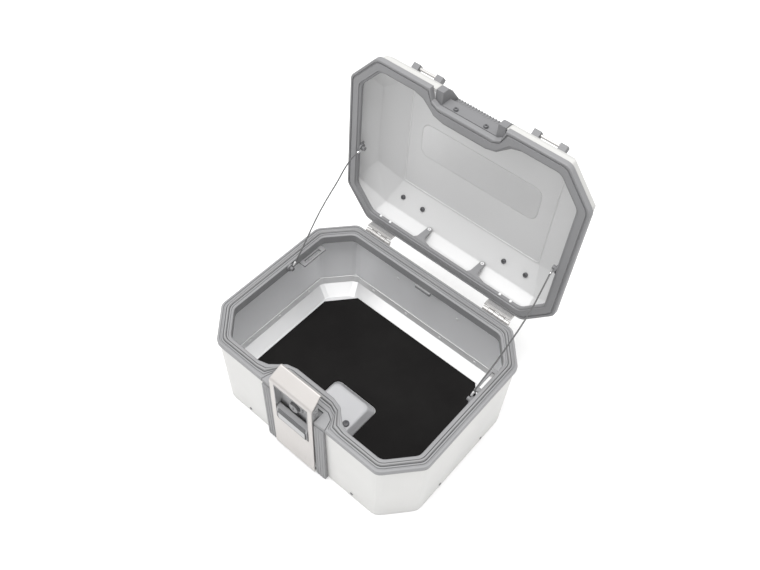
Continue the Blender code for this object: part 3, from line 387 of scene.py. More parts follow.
class Shape:
    """A mesh under construction."""

    def __init__(self) -> None:
        """Start an empty mesh."""
        self.mesh = bmesh.new()

    def rod(self, start: Sequence[float], end: Sequence[float], radius: float, sides: int = 24,
            end_radius: float | None = None) -> "Shape":
        """Add a capped cylinder or cone.

        Args:
            start: Middle of the first end.
            end: Middle of the second end.
            radius: Radius at the first end.
            sides: Number of sides.
            end_radius: Radius at the second end, or None for the same.

        Returns:
            This shape.
        """
        first = Vector(start)
        run = Vector(end) - first
        turn = run.to_track_quat("Z", "Y").to_matrix().to_4x4()
        bmesh.ops.create_cone(self.mesh, cap_ends=True, segments=sides, radius1=radius,
                              radius2=radius if end_radius is None else end_radius,
                              depth=run.length, matrix=Matrix.Translation(first + run / 2) @ turn)
        return self

    def box(self, low: Sequence[float], high: Sequence[float], round_by: float = 0.0) -> "Shape":
        """Add a box, with rounded edges if wanted.

        Args:
            low: Lowest corner.
            high: Highest corner.
            round_by: Edge radius.

        Returns:
            This shape.
        """
        size = Vector(high) - Vector(low)
        middle = (Vector(high) + Vector(low)) / 2
        place = Matrix.Translation(middle) @ Matrix.Diagonal((*size, 1.0))
        made = bmesh.ops.create_cube(self.mesh, size=1.0, matrix=place)
        if round_by > 0.0:
            edges = {edge for vert in made["verts"] for edge in vert.link_edges}
            bmesh.ops.bevel(self.mesh, geom=list(edges), offset=round_by, segments=3,
                            affect="EDGES", profile=0.5)
        return self

    def turned(self, start: Sequence[float], axis: Sequence[float],
               profile: Iterable[tuple[float, float]], sides: int = 32) -> "Shape":
        """Turn a closed (radius, height) profile about an axis.

        Args:
            start: Point on the axis at height 0.
            axis: Direction of the axis.
            profile: Closed profile, points off the axis.
            sides: Number of sides.

        Returns:
            This shape.
        """
        place = Matrix.Translation(start) @ Vector(axis).to_track_quat("Z", "Y").to_matrix().to_4x4()
        points = list(profile)
        rings = []
        for k in range(sides):
            angle = 2 * math.pi * k / sides
            rings.append([self.mesh.verts.new(place @ Vector((r * math.cos(angle), r * math.sin(angle), h)))
                          for r, h in points])
        for k, ring in enumerate(rings):
            after = rings[(k + 1) % sides]
            for i in range(len(points)):
                j = (i + 1) % len(points)
                self.mesh.faces.new((ring[i], ring[j], after[j], after[i]))
        return self

    def tube(self, path: Sequence[Vector], radius: Callable[[float, float], float],
             sides: int, closed: bool = False) -> "Shape":
        """Sweep a round section along a path.

        Args:
            path: Points along the middle line.
            radius: Radius by angle round the tube and distance along it.
            sides: Points round the section.
            closed: Whether the path returns to its start.

        Returns:
            This shape.
        """
        count = len(path)
        side = Vector((1.0, 0.0, 0.0))
        rings = []
        travelled = 0.0
        for i, here in enumerate(path):
            before = path[i - 1] if i > 0 or closed else path[0]
            after = path[(i + 1) % count] if i < count - 1 or closed else path[-1]
            along = (after - before).normalized()
            side = (side - along * side.dot(along)).normalized()
            across = along.cross(side)
            if i > 0:
                travelled += (here - path[i - 1]).length
            ring = []
            for k in range(sides):
                angle = 2 * math.pi * k / sides
                reach = radius(angle, travelled)
                ring.append(self.mesh.verts.new(here + side * math.cos(angle) * reach
                                                + across * math.sin(angle) * reach))
            rings.append(ring)
        for i in range(count if closed else count - 1):
            near = rings[i]
            far = rings[(i + 1) % count]
            for k in range(sides):
                m = (k + 1) % sides
                self.mesh.faces.new((near[k], near[m], far[m], far[k]))
        if not closed:
            self.mesh.faces.new(list(reversed(rings[0])))
            self.mesh.faces.new(rings[-1])
        return self

    def prism(self, outline: Sequence[tuple[float, float]], low_x: float, high_x: float) -> "Shape":
        """Draw a (y, z) outline out along X.

        Args:
            outline: Closed outline.
            low_x: First end.
            high_x: Second end.

        Returns:
            This shape.
        """
        rings = [[self.mesh.verts.new((x, y, z)) for y, z in outline] for x in (low_x, high_x)]
        self.mesh.faces.new(rings[0])
        self.mesh.faces.new(list(reversed(rings[1])))
        for i in range(len(outline)):
            j = (i + 1) % len(outline)
            self.mesh.faces.new((rings[0][j], rings[0][i], rings[1][i], rings[1][j]))
        return self


@dataclass
class Workshop:
    """Turns shapes into pieces with a finish, a slot and a body to ride on."""

    palette: Palette = field(default_factory=Palette)
    hinge: Hinge = field(default_factory=Hinge)

    def piece(self, name: str, shape: Shape, finish: Finish, body: str,
              on_lid: bool = False, smooth_angle: float = 35.0) -> bpy.types.Object:
        """Make one visible piece.

        Args:
            name: The piece's name.
            shape: Its mesh.
            finish: Its finish.
            body: The CAD body it rides on.
            on_lid: Whether it was drawn on the shut lid.
            smooth_angle: Edges below this angle are shaded smooth, in degrees.

        Returns:
            The finished object.
        """
        made = self.bare(name, shape, finish, smooth_angle, on_lid)
        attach(made, body)
        LOG.info("piece %s rides on %s", name, body)
        return made

    def bare(self, name: str, shape: Shape, finish: Finish, smooth_angle: float = 35.0,
             on_lid: bool = False) -> bpy.types.Object:
        """Make an object from a shape without putting it on a body.

        Args:
            name: The object's name.
            shape: Its mesh.
            finish: Its finish.
            smooth_angle: Edges below this angle are shaded smooth, in degrees.
            on_lid: Whether it was drawn on the shut lid.

        Returns:
            The object.
        """
        bmesh.ops.recalc_face_normals(shape.mesh, faces=shape.mesh.faces)
        mesh = bpy.data.meshes.new(name)
        if on_lid:
            bmesh.ops.transform(shape.mesh, matrix=self.hinge.opened(), verts=shape.mesh.verts)
        shape.mesh.to_mesh(mesh)
        shape.mesh.free()
        mesh.shade_smooth()
        mesh.set_sharp_from_angle(angle=math.radians(smooth_angle))
        mesh.materials.append(self.palette.material(finish))
        made = bpy.data.objects.new(name, mesh)
        bpy.context.scene.collection.objects.link(made)
        return made


@dataclass
class Studio:
    """Camera, soft lights and the pale floor."""

    eye: Point = (0.45999, -0.55126, 1.22047)
    azimuth: float = 38.474
    elevation: float = 52.095
    roll: float = 3.045
    lens: float = 37.985
    floor_level: float = -0.0006
    floor_half: float = 6.0

    def place_camera(self) -> None:
        """Put the camera at its fitted place and angle."""
        az = math.radians(self.azimuth)
        el = math.radians(self.elevation)
        roll = math.radians(self.roll)
        back = Vector((math.sin(az) * math.cos(el), -math.cos(az) * math.cos(el), math.sin(el)))
        right = Vector((math.cos(az), math.sin(az), 0.0))
        up = back.cross(right)
        right_rolled = math.cos(roll) * right + math.sin(roll) * up
        up_rolled = -math.sin(roll) * right + math.cos(roll) * up
        turn = Matrix((right_rolled, up_rolled, back)).transposed().to_4x4()
        data = bpy.data.cameras.new("camera")
        data.lens = self.lens
        data.sensor_width = 36.0
        data.clip_start = 0.01
        data.clip_end = 50.0
        camera = bpy.data.objects.new("camera", data)
        camera.matrix_world = Matrix.Translation(self.eye) @ turn
        bpy.context.scene.collection.objects.link(camera)
        bpy.context.scene.camera = camera

    def add_light(self, name: str, place: Point, target: Point, size: float, watts: float) -> None:
        """Add one soft square light.

        Args:
            name: The light's name.
            place: Where it hangs.
            target: Where it points.
            size: Edge length.
            watts: Power.
        """
        data = bpy.data.lights.new(name, "AREA")
        data.shape = "SQUARE"
        data.size = size
        data.energy = watts
        light = bpy.data.objects.new(name, data)
        aim = Vector(place) - Vector(target)
        light.matrix_world = Matrix.Translation(place) @ aim.to_track_quat("Z", "Y").to_matrix().to_4x4()
        bpy.context.scene.collection.objects.link(light)

    def add_world(self) -> None:
        """Fill light from a plain pale surround."""
        world = bpy.data.worlds.new("surround")
        world.use_nodes = True
        background = world.node_tree.nodes["Background"]
        background.inputs["Color"].default_value = (1.0, 1.0, 1.0, 1.0)
        background.inputs["Strength"].default_value = 0.80
        bpy.context.scene.world = world
        bpy.context.scene.view_settings.view_transform = "Standard"

    def add_floor(self) -> None:
        """Lay the plain pale floor."""
        mesh = bpy.data.meshes.new("floor")
        edge = self.floor_half
        level = self.floor_level
        corners = [(-edge, -edge, level), (edge, -edge, level), (edge, edge, level), (-edge, edge, level)]
        mesh.from_pydata(corners, [], [(0, 1, 2, 3)])
        floor = bpy.data.objects.new("floor", mesh)
        paint = bpy.data.materials.new("floor_paint")
        paint.use_nodes = True
        shader = paint.node_tree.nodes["Principled BSDF"]
        shader.inputs["Base Color"].default_value = (0.80, 0.80, 0.80, 1.0)
        shader.inputs["Roughness"].default_value = 0.9
        shader.inputs["Specular IOR Level"].default_value = 0.1
        shader.inputs["Emission Color"].default_value = (1.0, 1.0, 1.0, 1.0)
        shader.inputs["Emission Strength"].default_value = 0.20
        mesh.materials.append(paint)
        bpy.context.scene.collection.objects.link(floor)

    def build(self) -> None:
        """Set up the whole studio."""
        self.place_camera()
        self.add_world()
        self.add_floor()
        self.add_light("key", (-0.9, -1.1, 2.2), (0.0, 0.0, 0.1), 1.6, 14.0)
        self.add_light("top", (0.1, -0.1, 2.4), (0.0, 0.0, 0.0), 1.2, 50.0)
        LOG.info("studio is set up")


@dataclass
class Cables:
    """The two stranded cables that stop the lid, each from a lid boss to a base anchor."""

    diameter: float = 0.0025
    strands: int = 7
    twist: float = 260.0
    route: tuple[Point, ...] = (
        (0.1885, 0.1968, 0.3102),
        (0.1900, 0.1870, 0.3090),
        (0.1918, 0.1765, 0.3040),
        (0.1938, 0.1620, 0.2905),
        (0.1952, 0.1440, 0.2700),
        (0.1958, 0.1190, 0.2480),
        (0.1948, 0.0940, 0.2260),
        (0.1928, 0.0697, 0.2017),
        (0.1900, 0.0470, 0.1810),
        (0.1887, 0.0256, 0.1609),
    )
    steps: int = 8

    def line(self, side: int) -> list[Vector]:
        """Return the cable's smooth middle line.

        Args:
            side: -1 for the left cable and 1 for the right one.

        Returns:
            Points from the lid to the base.
        """
        points = [Vector((side * x, y, z)) for x, y, z in self.route]
        padded = [points[0] * 2 - points[1]] + points + [points[-1] * 2 - points[-2]]
        out = []
        for i in range(1, len(padded) - 2):
            a, b, c, d = padded[i - 1:i + 3]
            for k in range(self.steps):
                t = k / self.steps
                out.append(0.5 * (2 * b + (c - a) * t + (2 * a - 5 * b + 4 * c - d) * t * t
                                  + (3 * b - a - 3 * c + d) * t ** 3))
        out.append(points[-1])
        return out

    def build(self, shop: Workshop) -> None:
        """Make both cables and their ferrules.

        Args:
            shop: Where pieces are made.
        """
        half = self.diameter / 2

        def stranded(angle: float, along: float) -> float:
            """Radius of the lay of strands at a place on the cable."""
            return half * (0.93 + 0.07 * math.cos(self.strands * (angle - self.twist * along)))

        for side, word in ((-1, "left"), (1, "right")):
            line = self.line(side)
            tube = shop.bare(f"lid_cable_{word}", Shape().tube(line, stranded, 28), CABLE_STEEL, 60.0)
            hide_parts(f"cable_{word}")
            lid_end = self.ferrule(line[0], line[4])
            base_end = self.ferrule(line[-1], line[-5])
            top = shop.piece(f"cable_ferrule_lid_{word}", lid_end, FITTING_STEEL, "lid")
            foot = shop.piece(f"cable_ferrule_base_{word}", base_end, FITTING_STEEL, "base")
            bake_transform(tube)

    def ferrule(self, end: Vector, inward: Vector) -> Shape:
        """Pressed sleeve over the last stretch of a cable.

        Args:
            end: The cable's end point.
            inward: A point further along the cable.

        Returns:
            The sleeve's shape.
        """
        along = (inward - end).normalized()
        hole = self.diameter / 2 + 0.0001
        outer = self.diameter / 2 + 0.0008
        profile = [(hole, 0.0008), (outer - 0.0002, 0.0008), (outer, 0.0012), (outer, 0.0088),
                   (outer - 0.0003, 0.0094), (hole, 0.0094)]
        return Shape().turned(end, along, profile, 20)


@dataclass
class BaseSizes:
    """Sizes of the lower half that the added details sit on."""

    half_x: float = 0.215
    half_y: float = 0.1666
    chamfer_x: float = 0.0485
    chamfer_y: float = 0.055
    wall: float = 0.0015
    wall_inset: float = 0.0026
    taper: float = 0.0028
    wall_height: float = 0.1626

    def wall_y(self, z: float, inner: bool) -> float:
        """Return how far the rear wall stands from the middle.

        Args:
            z: Height on the wall.
            inner: Whether the inside face is meant.

        Returns:
            The distance along Y.
        """
        depth = self.half_y - self.wall_inset - self.taper * (1 - z / self.wall_height)
        return depth - self.wall if inner else depth

    def wall_x(self, z: float, inner: bool) -> float:
        """Return how far the side wall stands from the middle, like wall_y."""
        return self.wall_y(z, inner) - self.half_y + self.half_x

    def octagon(self, inset: float, z: float) -> list[Vector]:
        """Return the case outline moved in by an inset.

        Args:
            inset: Distance in from the rim's outer edge.
            z: Height of the outline.

        Returns:
            Eight corner points.
        """
        lean_x = inset * math.tan(0.5 * math.atan2(self.chamfer_x, self.chamfer_y))
        lean_y = inset * math.tan(0.5 * math.atan2(self.chamfer_y, self.chamfer_x))
        end_x = self.half_x - self.chamfer_x - lean_y
        side_x = self.half_x - inset
        side_y = self.half_y - self.chamfer_y - lean_x
        end_y = self.half_y - inset
        quarter = [(end_x, -end_y), (side_x, -side_y), (side_x, side_y), (end_x, end_y)]
        around = quarter + [(-x, y) for x, y in reversed(quarter)]
        return [Vector((x, y, z)) for x, y in around]


@dataclass
class BaseDetails:
    """Rivet heads, the bright bead along the pan's edge that paints its edge highlight, and the cover screw
    of the lower half.
    """

    sizes: BaseSizes = field(default_factory=BaseSizes)
    head_radius: float = 0.0029
    head_height: float = 0.0013
    pan_inset: float = 0.0089
    flange_level: float = 0.0275
    flange_top: float = 0.0361
    bead_radius: float = 0.0008
    sunk: float = 0.0001
    wall_head_x: float = 0.066
    wall_head_z: float = 0.105
    foot_head_x: float = 0.115
    foot_head_y: float = 0.055
    foot_head_z: float = 0.0095
    pan_head_x: tuple[float, ...] = (-0.118, -0.0395, 0.0395, 0.118)
    pan_head_y: tuple[float, ...] = (-0.075, 0.0, 0.075)
    cover_head_radius: float = 0.0056

    def build(self, shop: Workshop) -> None:
        """Make every detail of the lower half.

        Args:
            shop: Where pieces are made.
        """
        shop.piece("wall_rivet_heads", self.wall_heads(), BRIGHT_STEEL_AND_EDGE_HIGHLIGHT, "base")
        shop.piece("foot_rivet_heads", self.foot_heads(), LOCK_METAL, "base")
        shop.piece("pan_rivet_heads", self.pan_heads(), BRIGHT_STEEL_AND_EDGE_HIGHLIGHT, "base")
        # Painted highlight: a bright bead along the pan flange's top edge stands in for the light line on
        # that edge.
        bead = Shape().tube(self.sizes.octagon(self.pan_inset - 0.0004, self.flange_top),
                            lambda angle, along: self.bead_radius, 10, closed=True)
        shop.piece("pan_edge_highlight_bead", bead, BRIGHT_STEEL_AND_EDGE_HIGHLIGHT, "base", smooth_angle=50.0)
        low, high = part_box("lock_box_screw")
        top = Vector(((low[0] + high[0]) / 2, (low[1] + high[1]) / 2, high[2]))
        head = socket_head(Shape(), top, Vector((0, 0, 1)), self.cover_head_radius)
        shop.piece("lock_box_screw_head", head, DARK_PLASTIC, "base")

    def _head(self, shape: Shape, place: Point, outward: Point) -> None:
        """Add one domed rivet head.

        Args:
            shape: The shape to add to.
            place: Middle of its foot.
            outward: Direction away from the sheet.
        """
        radius = self.head_radius
        height = self.head_height
        profile = [(0.00005, 0.0), (radius, 0.0), (radius * 0.96, height * 0.35),
                   (radius * 0.75, height * 0.75), (radius * 0.4, height * 0.97), (0.00005, height)]
        shape.turned(place, outward, profile, 18)

    def wall_heads(self) -> Shape:
        """Return the two rivet heads inside the rear wall."""
        shape = Shape()
        z = self.wall_head_z
        for x in (-self.wall_head_x, self.wall_head_x):
            self._head(shape, (x, self.sizes.wall_y(z, True) - self.sunk, z), (0.0, -1.0, 0.0))
        return shape

    def foot_heads(self) -> Shape:
        """Return the rivet heads low on the outside."""
        shape = Shape()
        z = self.foot_head_z
        depth = self.sizes.wall_y(z, False) + self.sunk
        width = self.sizes.wall_x(z, False) + self.sunk
        for x in (-self.foot_head_x, self.foot_head_x):
            for face in (-1, 1):
                self._head(shape, (x, face * depth, z), (0.0, face, 0.0))
        for y in (-self.foot_head_y, self.foot_head_y):
            for face in (-1, 1):
                self._head(shape, (face * width, y, z), (face, 0.0, 0.0))
        return shape

    def pan_heads(self) -> Shape:
        """Return the rivet heads along the pan's flange."""
        shape = Shape()
        depth = self.sizes.half_y - self.pan_inset - self.sunk
        width = self.sizes.half_x - self.pan_inset - self.sunk
        for x in self.pan_head_x:
            self._head(shape, (x, depth, self.flange_level), (0.0, -1.0, 0.0))
            if x in (self.pan_head_x[0], self.pan_head_x[-1]):
                self._head(shape, (x, -depth, self.flange_level), (0.0, 1.0, 0.0))
        for side in (-1, 1):
            for y in self.pan_head_y:
                self._head(shape, (side * width, y, self.flange_level), (-side, 0.0, 0.0))
        return shape


@dataclass
class CatchSpring:
    """The coil that pushes the carrier catch out; the drawn coil keeps one length and does not shorten as the
    catch slides.
    """

    wire: float = 0.0004
    turns: int = 7
    turn_steps: int = 16

    def build(self, shop: Workshop) -> None:
        """Make the coil in the place of its CAD node.

        Args:
            shop: Where pieces are made.
        """
        low, high = (Vector(corner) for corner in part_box("catch_spring"))
        middle = (low + high) / 2
        coil = (high.x - low.x) / 2 - self.wire
        steps = self.turns * self.turn_steps
        path = []
        for k in range(steps + 1):
            angle = 2 * math.pi * k / self.turn_steps
            along = low.y + self.wire + (high.y - low.y - 2 * self.wire) * k / steps
            path.append(Vector((middle.x + coil * math.cos(angle), along, middle.z + coil * math.sin(angle))))
        spring = shop.bare("catch_coil", Shape().tube(path, lambda angle, along: self.wire, 8), FITTING_STEEL)
        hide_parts("catch_spring")
        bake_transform(spring)


def socket_head(shape: Shape, place: Vector, outward: Vector, radius: float) -> Shape:
    """Add a button screw head with a socket in it.

    Args:
        shape: The shape to add to.
        place: Middle of its foot.
        outward: Direction away from what it holds.
        radius: Outer radius.

    Returns:
        The same shape.
    """
    bore = radius * 0.42
    profile = [(bore, 0.0001), (radius * 0.98, 0.0001), (radius, 0.0004), (radius * 0.9, 0.0010),
               (radius * 0.7, 0.0014), (bore * 1.1, 0.0016), (bore, 0.0015)]
    return shape.turned(place, outward, profile, 28)


@dataclass
class LidDetails:
    """Pressings, screw heads, ribs, eyelets and rail sleeves, drawn on the shut lid."""

    top: float = 0.2405
    sheet: float = 0.0015
    panel_x: float = 0.1400
    panel_y: tuple[float, float] = (-0.1050, 0.1020)
    panel_round: float = 0.004
    stripe_x: float = 0.1150
    stripe_y: tuple[float, float] = (-0.0400, 0.0250)
    rail_x: tuple[float, float] = (0.0865, 0.1300)
    front_slope: tuple[float, float, float, float] = (-0.1560, 0.2035, -0.1085, 0.2405)
    rear_slope: tuple[float, float, float, float] = (0.1525, 0.2165, 0.1060, 0.2405)
    front_y: float = -0.1365
    rear_y: float = 0.1300
    pocket_back: float = -0.1297
    rib_half: float = 0.0455
    rib_count: int = 19
    ear_x: float = 0.0568
    ear_y: float = 0.1456
    ear_z: float = 0.2105
    rod_height: float = 0.0090
    rod_radius: float = 0.00215
    foot_half: float = 0.0062
    hinge_x: float = 0.1276
    hinge_screw: float = 0.0106
    hinge_rib_half: float = 0.0240
    hinge_rib_y: tuple[float, float] = (0.16672, 0.1670)
    hinge_rib_z: tuple[float, ...] = (0.1653, 0.1674, 0.1695, 0.1713)
    hinge_rib_height: float = 0.0009
    pocket_head: Point = (0.0264, -0.1443, 0.1858)
    pocket_head_radius: float = 0.0036
    rail_head_radius: float = 0.0041
    rail_head_depth: float = 0.0026
    nut_y: float = 0.1460
    nut_z: float = 0.1764

    def build(self, shop: Workshop) -> None:
        """Make every detail of the lid.

        Args:
            shop: Where pieces are made.
        """
        # Painted highlight: the pressed lines are coloured bright to show the light lines along the panel's
        # edges.
        shop.piece("lid_panel_highlight_line", self.panel_line(), LID_HIGHLIGHT_LINE, "lid",
                   True, 60.0)
        shop.piece("lid_pressed_panel", self.stripe(self.top - self.sheet, -1), LID_PRESSING, "lid",
                   True, 60.0)
        shop.piece("lid_pressed_panel_outside", self.stripe(self.top, 1), LID_SKIN, "lid",
                   True, 60.0)
        shop.piece("rail_screw_heads", self.screw_heads(), DARK_PLASTIC, "lid", True)
        shop.piece("pocket_screw_heads", self.pocket_heads(), DARK_PLASTIC, "lid", True)
        shop.piece("pocket_ribs", self.ribs(), LID_FITTINGS, "lid", True)
        shop.piece("hinge_ribs", self.hinge_ribs(), TRIM_PLASTIC, "lid", True)
        shop.piece("hinge_nut_caps", self.nut_caps(), BRIGHT_STEEL_AND_EDGE_HIGHLIGHT, "lid", True)
        shop.piece("ear_eyelets", self.eyelets(), BRIGHT_STEEL_AND_EDGE_HIGHLIGHT, "lid", True)
        shop.piece("rail_sleeves", self.rail_sleeves(), HINGE_METAL, "lid", True)

    @staticmethod
    def _rounded(low: tuple[float, float], high: tuple[float, float], radius: float,
                 z: float) -> list[Vector]:
        """Return a rounded rectangle.

        Args:
            low: Lowest x and y.
            high: Highest x and y.
            radius: Corner radius.
            z: Height.

        Returns:
            Points in order.
        """
        corners = ((high[0] - radius, low[1] + radius, -90), (high[0] - radius, high[1] - radius, 0),
                   (low[0] + radius, high[1] - radius, 90), (low[0] + radius, low[1] + radius, 180))
        out = []
        for x, y, start in corners:
            for k in range(7):
                angle = math.radians(start + 15 * k)
                out.append(Vector((x + radius * math.cos(angle), y + radius * math.sin(angle), z)))
        return out

    def panel_line(self) -> Shape:
        """Return the fine pressed lines round the top panel, on the inside, coloured brighter than the lid as
        a painted highlight.
        """
        level = self.top - self.sheet
        outline = self._rounded((-self.panel_x, self.panel_y[0]), (self.panel_x, self.panel_y[1]),
                                self.panel_round, level)
        shape = Shape().tube(outline, lambda angle, along: 0.0007, 8, closed=True)
        second = self.panel_y[1] - 0.0062
        ends = [Vector((-self.panel_x + self.panel_round, second, level)), Vector((self.panel_x - 0.001, second, level))]
        return shape.tube(ends, lambda angle, along: 0.0006, 8)

    def stripe(self, level: float, out: int) -> Shape:
        """Return the plain pressed panel across the top.

        Args:
            level: Height of the sheet's face.
            out: 1 when the face looks up and -1 when it looks down.

        Returns:
            The raised panel.
        """
        shape = Shape()
        rings = []
        for inset, rise in ((0.0, 0.00002), (0.0010, 0.0005), (0.0020, 0.0005), (0.0030, 0.0005)):
            outline = self._rounded((-self.stripe_x + inset, self.stripe_y[0] + inset),
                                    (self.stripe_x - inset, self.stripe_y[1] - inset),
                                    0.016 - inset, level + out * rise)
            rings.append([shape.mesh.verts.new(point) for point in outline])
        for lower, upper in zip(rings, rings[1:]):
            for k in range(len(lower)):
                m = (k + 1) % len(lower)
                shape.mesh.faces.new((lower[k], lower[m], upper[m], upper[k]))
        shape.mesh.faces.new(rings[-1])
        shape.mesh.faces.new(list(reversed(rings[0])))
        return shape

    @staticmethod
    def _on_slope(slope: tuple[float, float, float, float], y: float) -> tuple[float, Vector]:
        """Return the height and upward direction of a slope of the lid.

        Args:
            slope: Its lower y and z, then its upper y and z.
            y: Where on the slope.

        Returns:
            The height there and the outward direction.
        """
        low_y, low_z, high_y, high_z = slope
        z = low_z + (y - low_y) / (high_y - low_y) * (high_z - low_z)
        along = Vector((0.0, high_y - low_y, high_z - low_z)).normalized()
        out = Vector((0.0, -along.z, along.y))
        return z, out if out.z > 0 else -out

    def screw_heads(self) -> Shape:
        """Return the socket heads of the rail screws, inside the lid."""
        shape = Shape()
        depth = self.sheet + self.rail_head_depth
        for slope, y in ((self.front_slope, self.front_y), (self.rear_slope, self.rear_y)):
            z, out = self._on_slope(slope, y)
            for x in self.rail_x:
                for side in (-1, 1):
                    socket_head(shape, Vector((side * x, y, z)) - out * depth, -out,
                                self.rail_head_radius)
        return shape

    def pocket_heads(self) -> Shape:
        """Return the socket heads of the two pocket screws."""
        shape = Shape()
        x, y, z = self.pocket_head
        for side in (-1, 1):
            socket_head(shape, Vector((side * x, y, z)), Vector((0.0, -1.0, 0.0)),
                        self.pocket_head_radius)
        return shape

    def ribs(self) -> Shape:
        """Return the grip ribs along the top of the latch pocket."""
        shape = Shape()
        z, _ = self._on_slope(self.front_slope, self.pocket_back)
        for k in range(self.rib_count):
            x = -self.rib_half + 2 * self.rib_half * k / (self.rib_count - 1)
            shape.box((x - 0.0010, self.pocket_back - 0.0016, z - 0.0085),
                      (x + 0.0010, self.pocket_back + 0.0020, z - 0.0002), 0.0003)
        return shape

    def hinge_ribs(self) -> Shape:
        """Return the fine ribs on the lid leaves of both hinges."""
        shape = Shape()
        for side in (-1, 1):
            x = side * self.hinge_x
            for level in self.hinge_rib_z:
                shape.box((x - self.hinge_rib_half, self.hinge_rib_y[0], level),
                          (x + self.hinge_rib_half, self.hinge_rib_y[1], level + self.hinge_rib_height))
        return shape

    def nut_caps(self) -> Shape:
        """Return the bright nuts of the hinge screws on the lid rim's inner side."""
        shape = Shape()
        for side in (-1, 1):
            for dx in (-self.hinge_screw, self.hinge_screw):
                x = side * self.hinge_x + dx
                shape.rod((x, self.nut_y, self.nut_z), (x, self.nut_y - 0.0018, self.nut_z),
                          0.0026, 6, 0.0023)
        return shape


    def eyelets(self) -> Shape:
        """Return the bright eyelets pressed into the net ears."""
        shape = Shape()
        profile = [(0.0015, -0.0004), (0.0034, -0.0004), (0.0034, -0.0001), (0.0022, 0.0),
                   (0.0022, 0.0018), (0.0034, 0.0019), (0.0034, 0.0022), (0.0015, 0.0022)]
        for side in (-1, 1):
            shape.turned((side * self.ear_x, self.ear_y, self.ear_z), (0.0, 1.0, 0.0), profile, 20)
        return shape

    def rail_sleeves(self) -> Shape:
        """Return the bright sleeves over the rods of the lashing rails."""
        shape = Shape()
        for slope, y in ((self.front_slope, self.front_y), (self.rear_slope, self.rear_y)):
            z, out = self._on_slope(slope, y)
            middle = Vector((0.0, y, z)) + out * self.rod_height
            low = middle + Vector((self.rail_x[0] + self.foot_half, 0.0, 0.0))
            high = middle + Vector((self.rail_x[1] - self.foot_half, 0.0, 0.0))
            length = (high - low).length
            outer = self.rod_radius + 0.0004
            profile = [(self.rod_radius, 0.0), (outer, 0.0), (outer, length), (self.rod_radius, length)]
            shape.turned(low, (1.0, 0.0, 0.0), profile, 20)
            shape.turned(Vector((-high.x, low.y, low.z)), (1.0, 0.0, 0.0), profile, 20)
        return shape


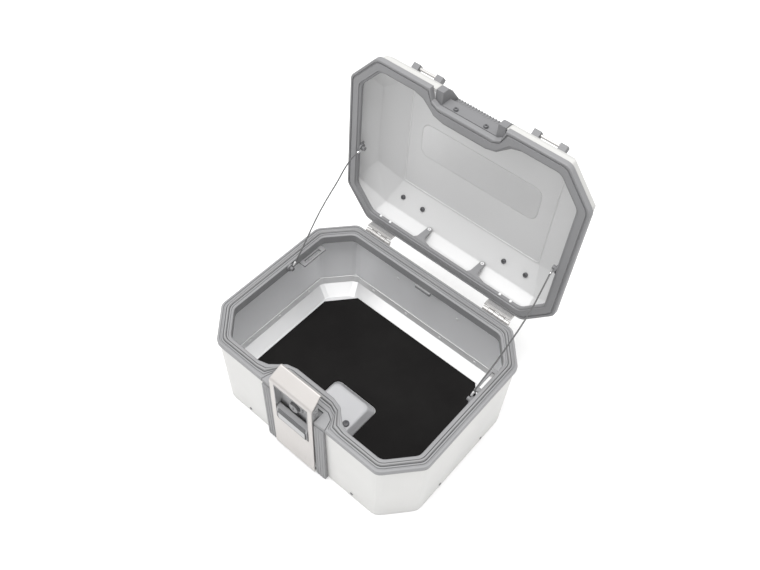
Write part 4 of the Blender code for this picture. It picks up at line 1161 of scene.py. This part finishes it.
@dataclass
class LatchDetails:
    """Window fittings, flank bosses, dust boot and side strips of the latch."""

    window_half: float = 0.0345
    window_z: tuple[float, float] = (0.0950, 0.1890)
    plate_face: float = -0.1702
    body_half: float = 0.0430
    lock_level: float = 0.152
    boot_half: float = 0.0428
    boot_y: tuple[float, float] = (-0.1553, -0.1464)
    boot_z: tuple[float, float] = (0.1560, 0.1640)
    boot_fold: float = 0.0008
    boot_sheet: float = 0.0012
    trim_x: tuple[float, float, float] = (0.0492, 0.0546, 0.0600)
    trim_y: float = -0.1689
    trim_z: tuple[float, float] = (0.0020, 0.1570)

    def build(self, shop: Workshop) -> None:
        """Make every detail of the latch.

        Args:
            shop: Where pieces are made.
        """
        shop.piece("window_frame", self.window_frame(), DARK_TRIM, "latch")
        shop.piece("lock_collar", self.lock_collar(), DARK_TRIM, "latch")
        shop.piece("latch_bosses", self.bosses(), RIM_PLASTIC, "latch")
        shop.piece("window_ledges", self.ledges(), BODY_PLASTIC, "latch")
        boot = shop.bare("latch_dust_boot", self.dust_boot(), RIM_PLASTIC)
        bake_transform(boot)
        shop.piece("trim_ribs", self.trim_ribs(), RIM_PLASTIC, "base")
        shop.piece("lever_ribs", self.lever_ribs(), LID_FITTINGS, "lever")
        shop.piece("name_plate_border", self.plate_border(), DARK_PLASTIC, "lever")

    def dust_boot(self) -> Shape:
        """Return the folded rubber boot between the latch body and the collar."""
        shape = Shape()
        front, back = self.boot_y
        steps = 8
        top = [(front + (back - front) * k / steps, self.boot_z[1] - self.boot_fold * (k % 2))
               for k in range(steps + 1)]
        low = [(y, z - self.boot_sheet) for y, z in reversed(top)]
        return shape.prism(top + low, -self.boot_half, self.boot_half)

    def trim_ribs(self) -> Shape:
        """Return the fine upright ribs on the strips beside the plate."""
        shape = Shape()
        low, high = self.trim_z
        for side in (-1, 1):
            for x in self.trim_x:
                shape.rod((side * x, self.trim_y, low), (side * x, self.trim_y, high), 0.0007, 10)
        return shape

    def window_frame(self) -> Shape:
        """Return the slim frame inside the plate's window."""
        half = self.window_half - 0.0003
        low, high = self.window_z
        front = self.plate_face - 0.0004
        shape = Shape()
        edge = 0.0012
        for side in (-1, 1):
            ends = sorted((side * half, side * (half - edge)))
            shape.box((ends[0], front, low + 0.040), (ends[1], -0.1679, high - 0.0003))
        shape.box((-half + edge, front, high - 0.0003 - edge), (half - edge, -0.1679, high - 0.0003))
        return shape

    def lock_collar(self) -> Shape:
        """Return the raised collar round the key cylinder."""
        profile = [(0.0098, 0.0), (0.0140, 0.0), (0.0136, 0.0018), (0.0122, 0.0030), (0.0104, 0.0032),
                   (0.0098, 0.0026)]
        return Shape().turned((0.0, -0.1579, self.lock_level), (0.0, -1.0, 0.0), profile, 36)

    def bosses(self) -> Shape:
        """Return the small pivot bosses on the latch body's flanks."""
        shape = Shape()
        for side in (-1, 1):
            for y, z, radius in ((-0.1605, 0.1765, 0.0036), (-0.1625, 0.1865, 0.0028)):
                shape.rod((side * self.body_half, y, z), (side * (self.body_half + 0.0020), y, z),
                          radius, 20, radius * 0.85)
        return shape

    def ledges(self) -> Shape:
        """Return the moulded steps inside the window."""
        half = self.window_half - 0.0018
        outline = [(-0.1579, 0.1868), (-0.1655, 0.1868), (-0.1650, 0.1835), (-0.1620, 0.1800),
                   (-0.1600, 0.1740), (-0.1579, 0.1715)]
        return Shape().prism(outline, -half, half)

    def lever_ribs(self) -> Shape:
        """Return the finger ribs along the lever's upper edge."""
        shape = Shape()
        for k in range(3):
            z = 0.1200 + 0.0028 * k
            y = -0.1725 + 0.0008 * k
            shape.rod((-self.window_half + 0.0060, y, z), (self.window_half - 0.0060, y, z), 0.0007, 10)
        return shape

    def plate_border(self) -> Shape:
        """Return the dark border round the blank name plate."""
        shape = Shape()
        low_x, high_x = -0.0300, 0.0300
        low_z, high_z = 0.1000, 0.1185
        edge = 0.0014
        back, front = -0.1722, -0.1732
        shape.box((low_x, front, low_z), (high_x, back, low_z + edge))
        shape.box((low_x, front, high_z - edge), (high_x, back, high_z))
        shape.box((low_x, front, low_z + edge), (low_x + edge, back, high_z - edge))
        shape.box((high_x - edge, front, low_z + edge), (high_x, back, high_z - edge))
        return shape


@dataclass
class CadNodes:
    """The CAD nodes that stay in view, each dressed in its finish."""

    def dress(self, palette: Palette) -> None:
        """Give every CAD node the finish of its material slot.

        Args:
            palette: Source of materials.
        """
        slots = {row["node"]: row["material_slot"] for row in frame["record"]["subparts"]}
        for name, node in frame["nodes"].items():
            finish = SPECIAL.get(name, SLOTS[slots[name]])
            node.data.materials.clear()
            node.data.materials.append(palette.material(finish))
            LOG.info("node %s has finish %s", name, finish.name)


def main() -> None:
    """Build the studio, the cables and every dressed piece."""
    logging.basicConfig(level=logging.INFO, format="%(name)s: %(message)s")
    Studio().build()
    shop = Workshop()
    Cables().build(shop)
    BaseDetails().build(shop)
    CatchSpring().build(shop)
    LidDetails().build(shop)
    LatchDetails().build(shop)
    CadNodes().dress(shop.palette)


if __name__ == "__main__":
    main()
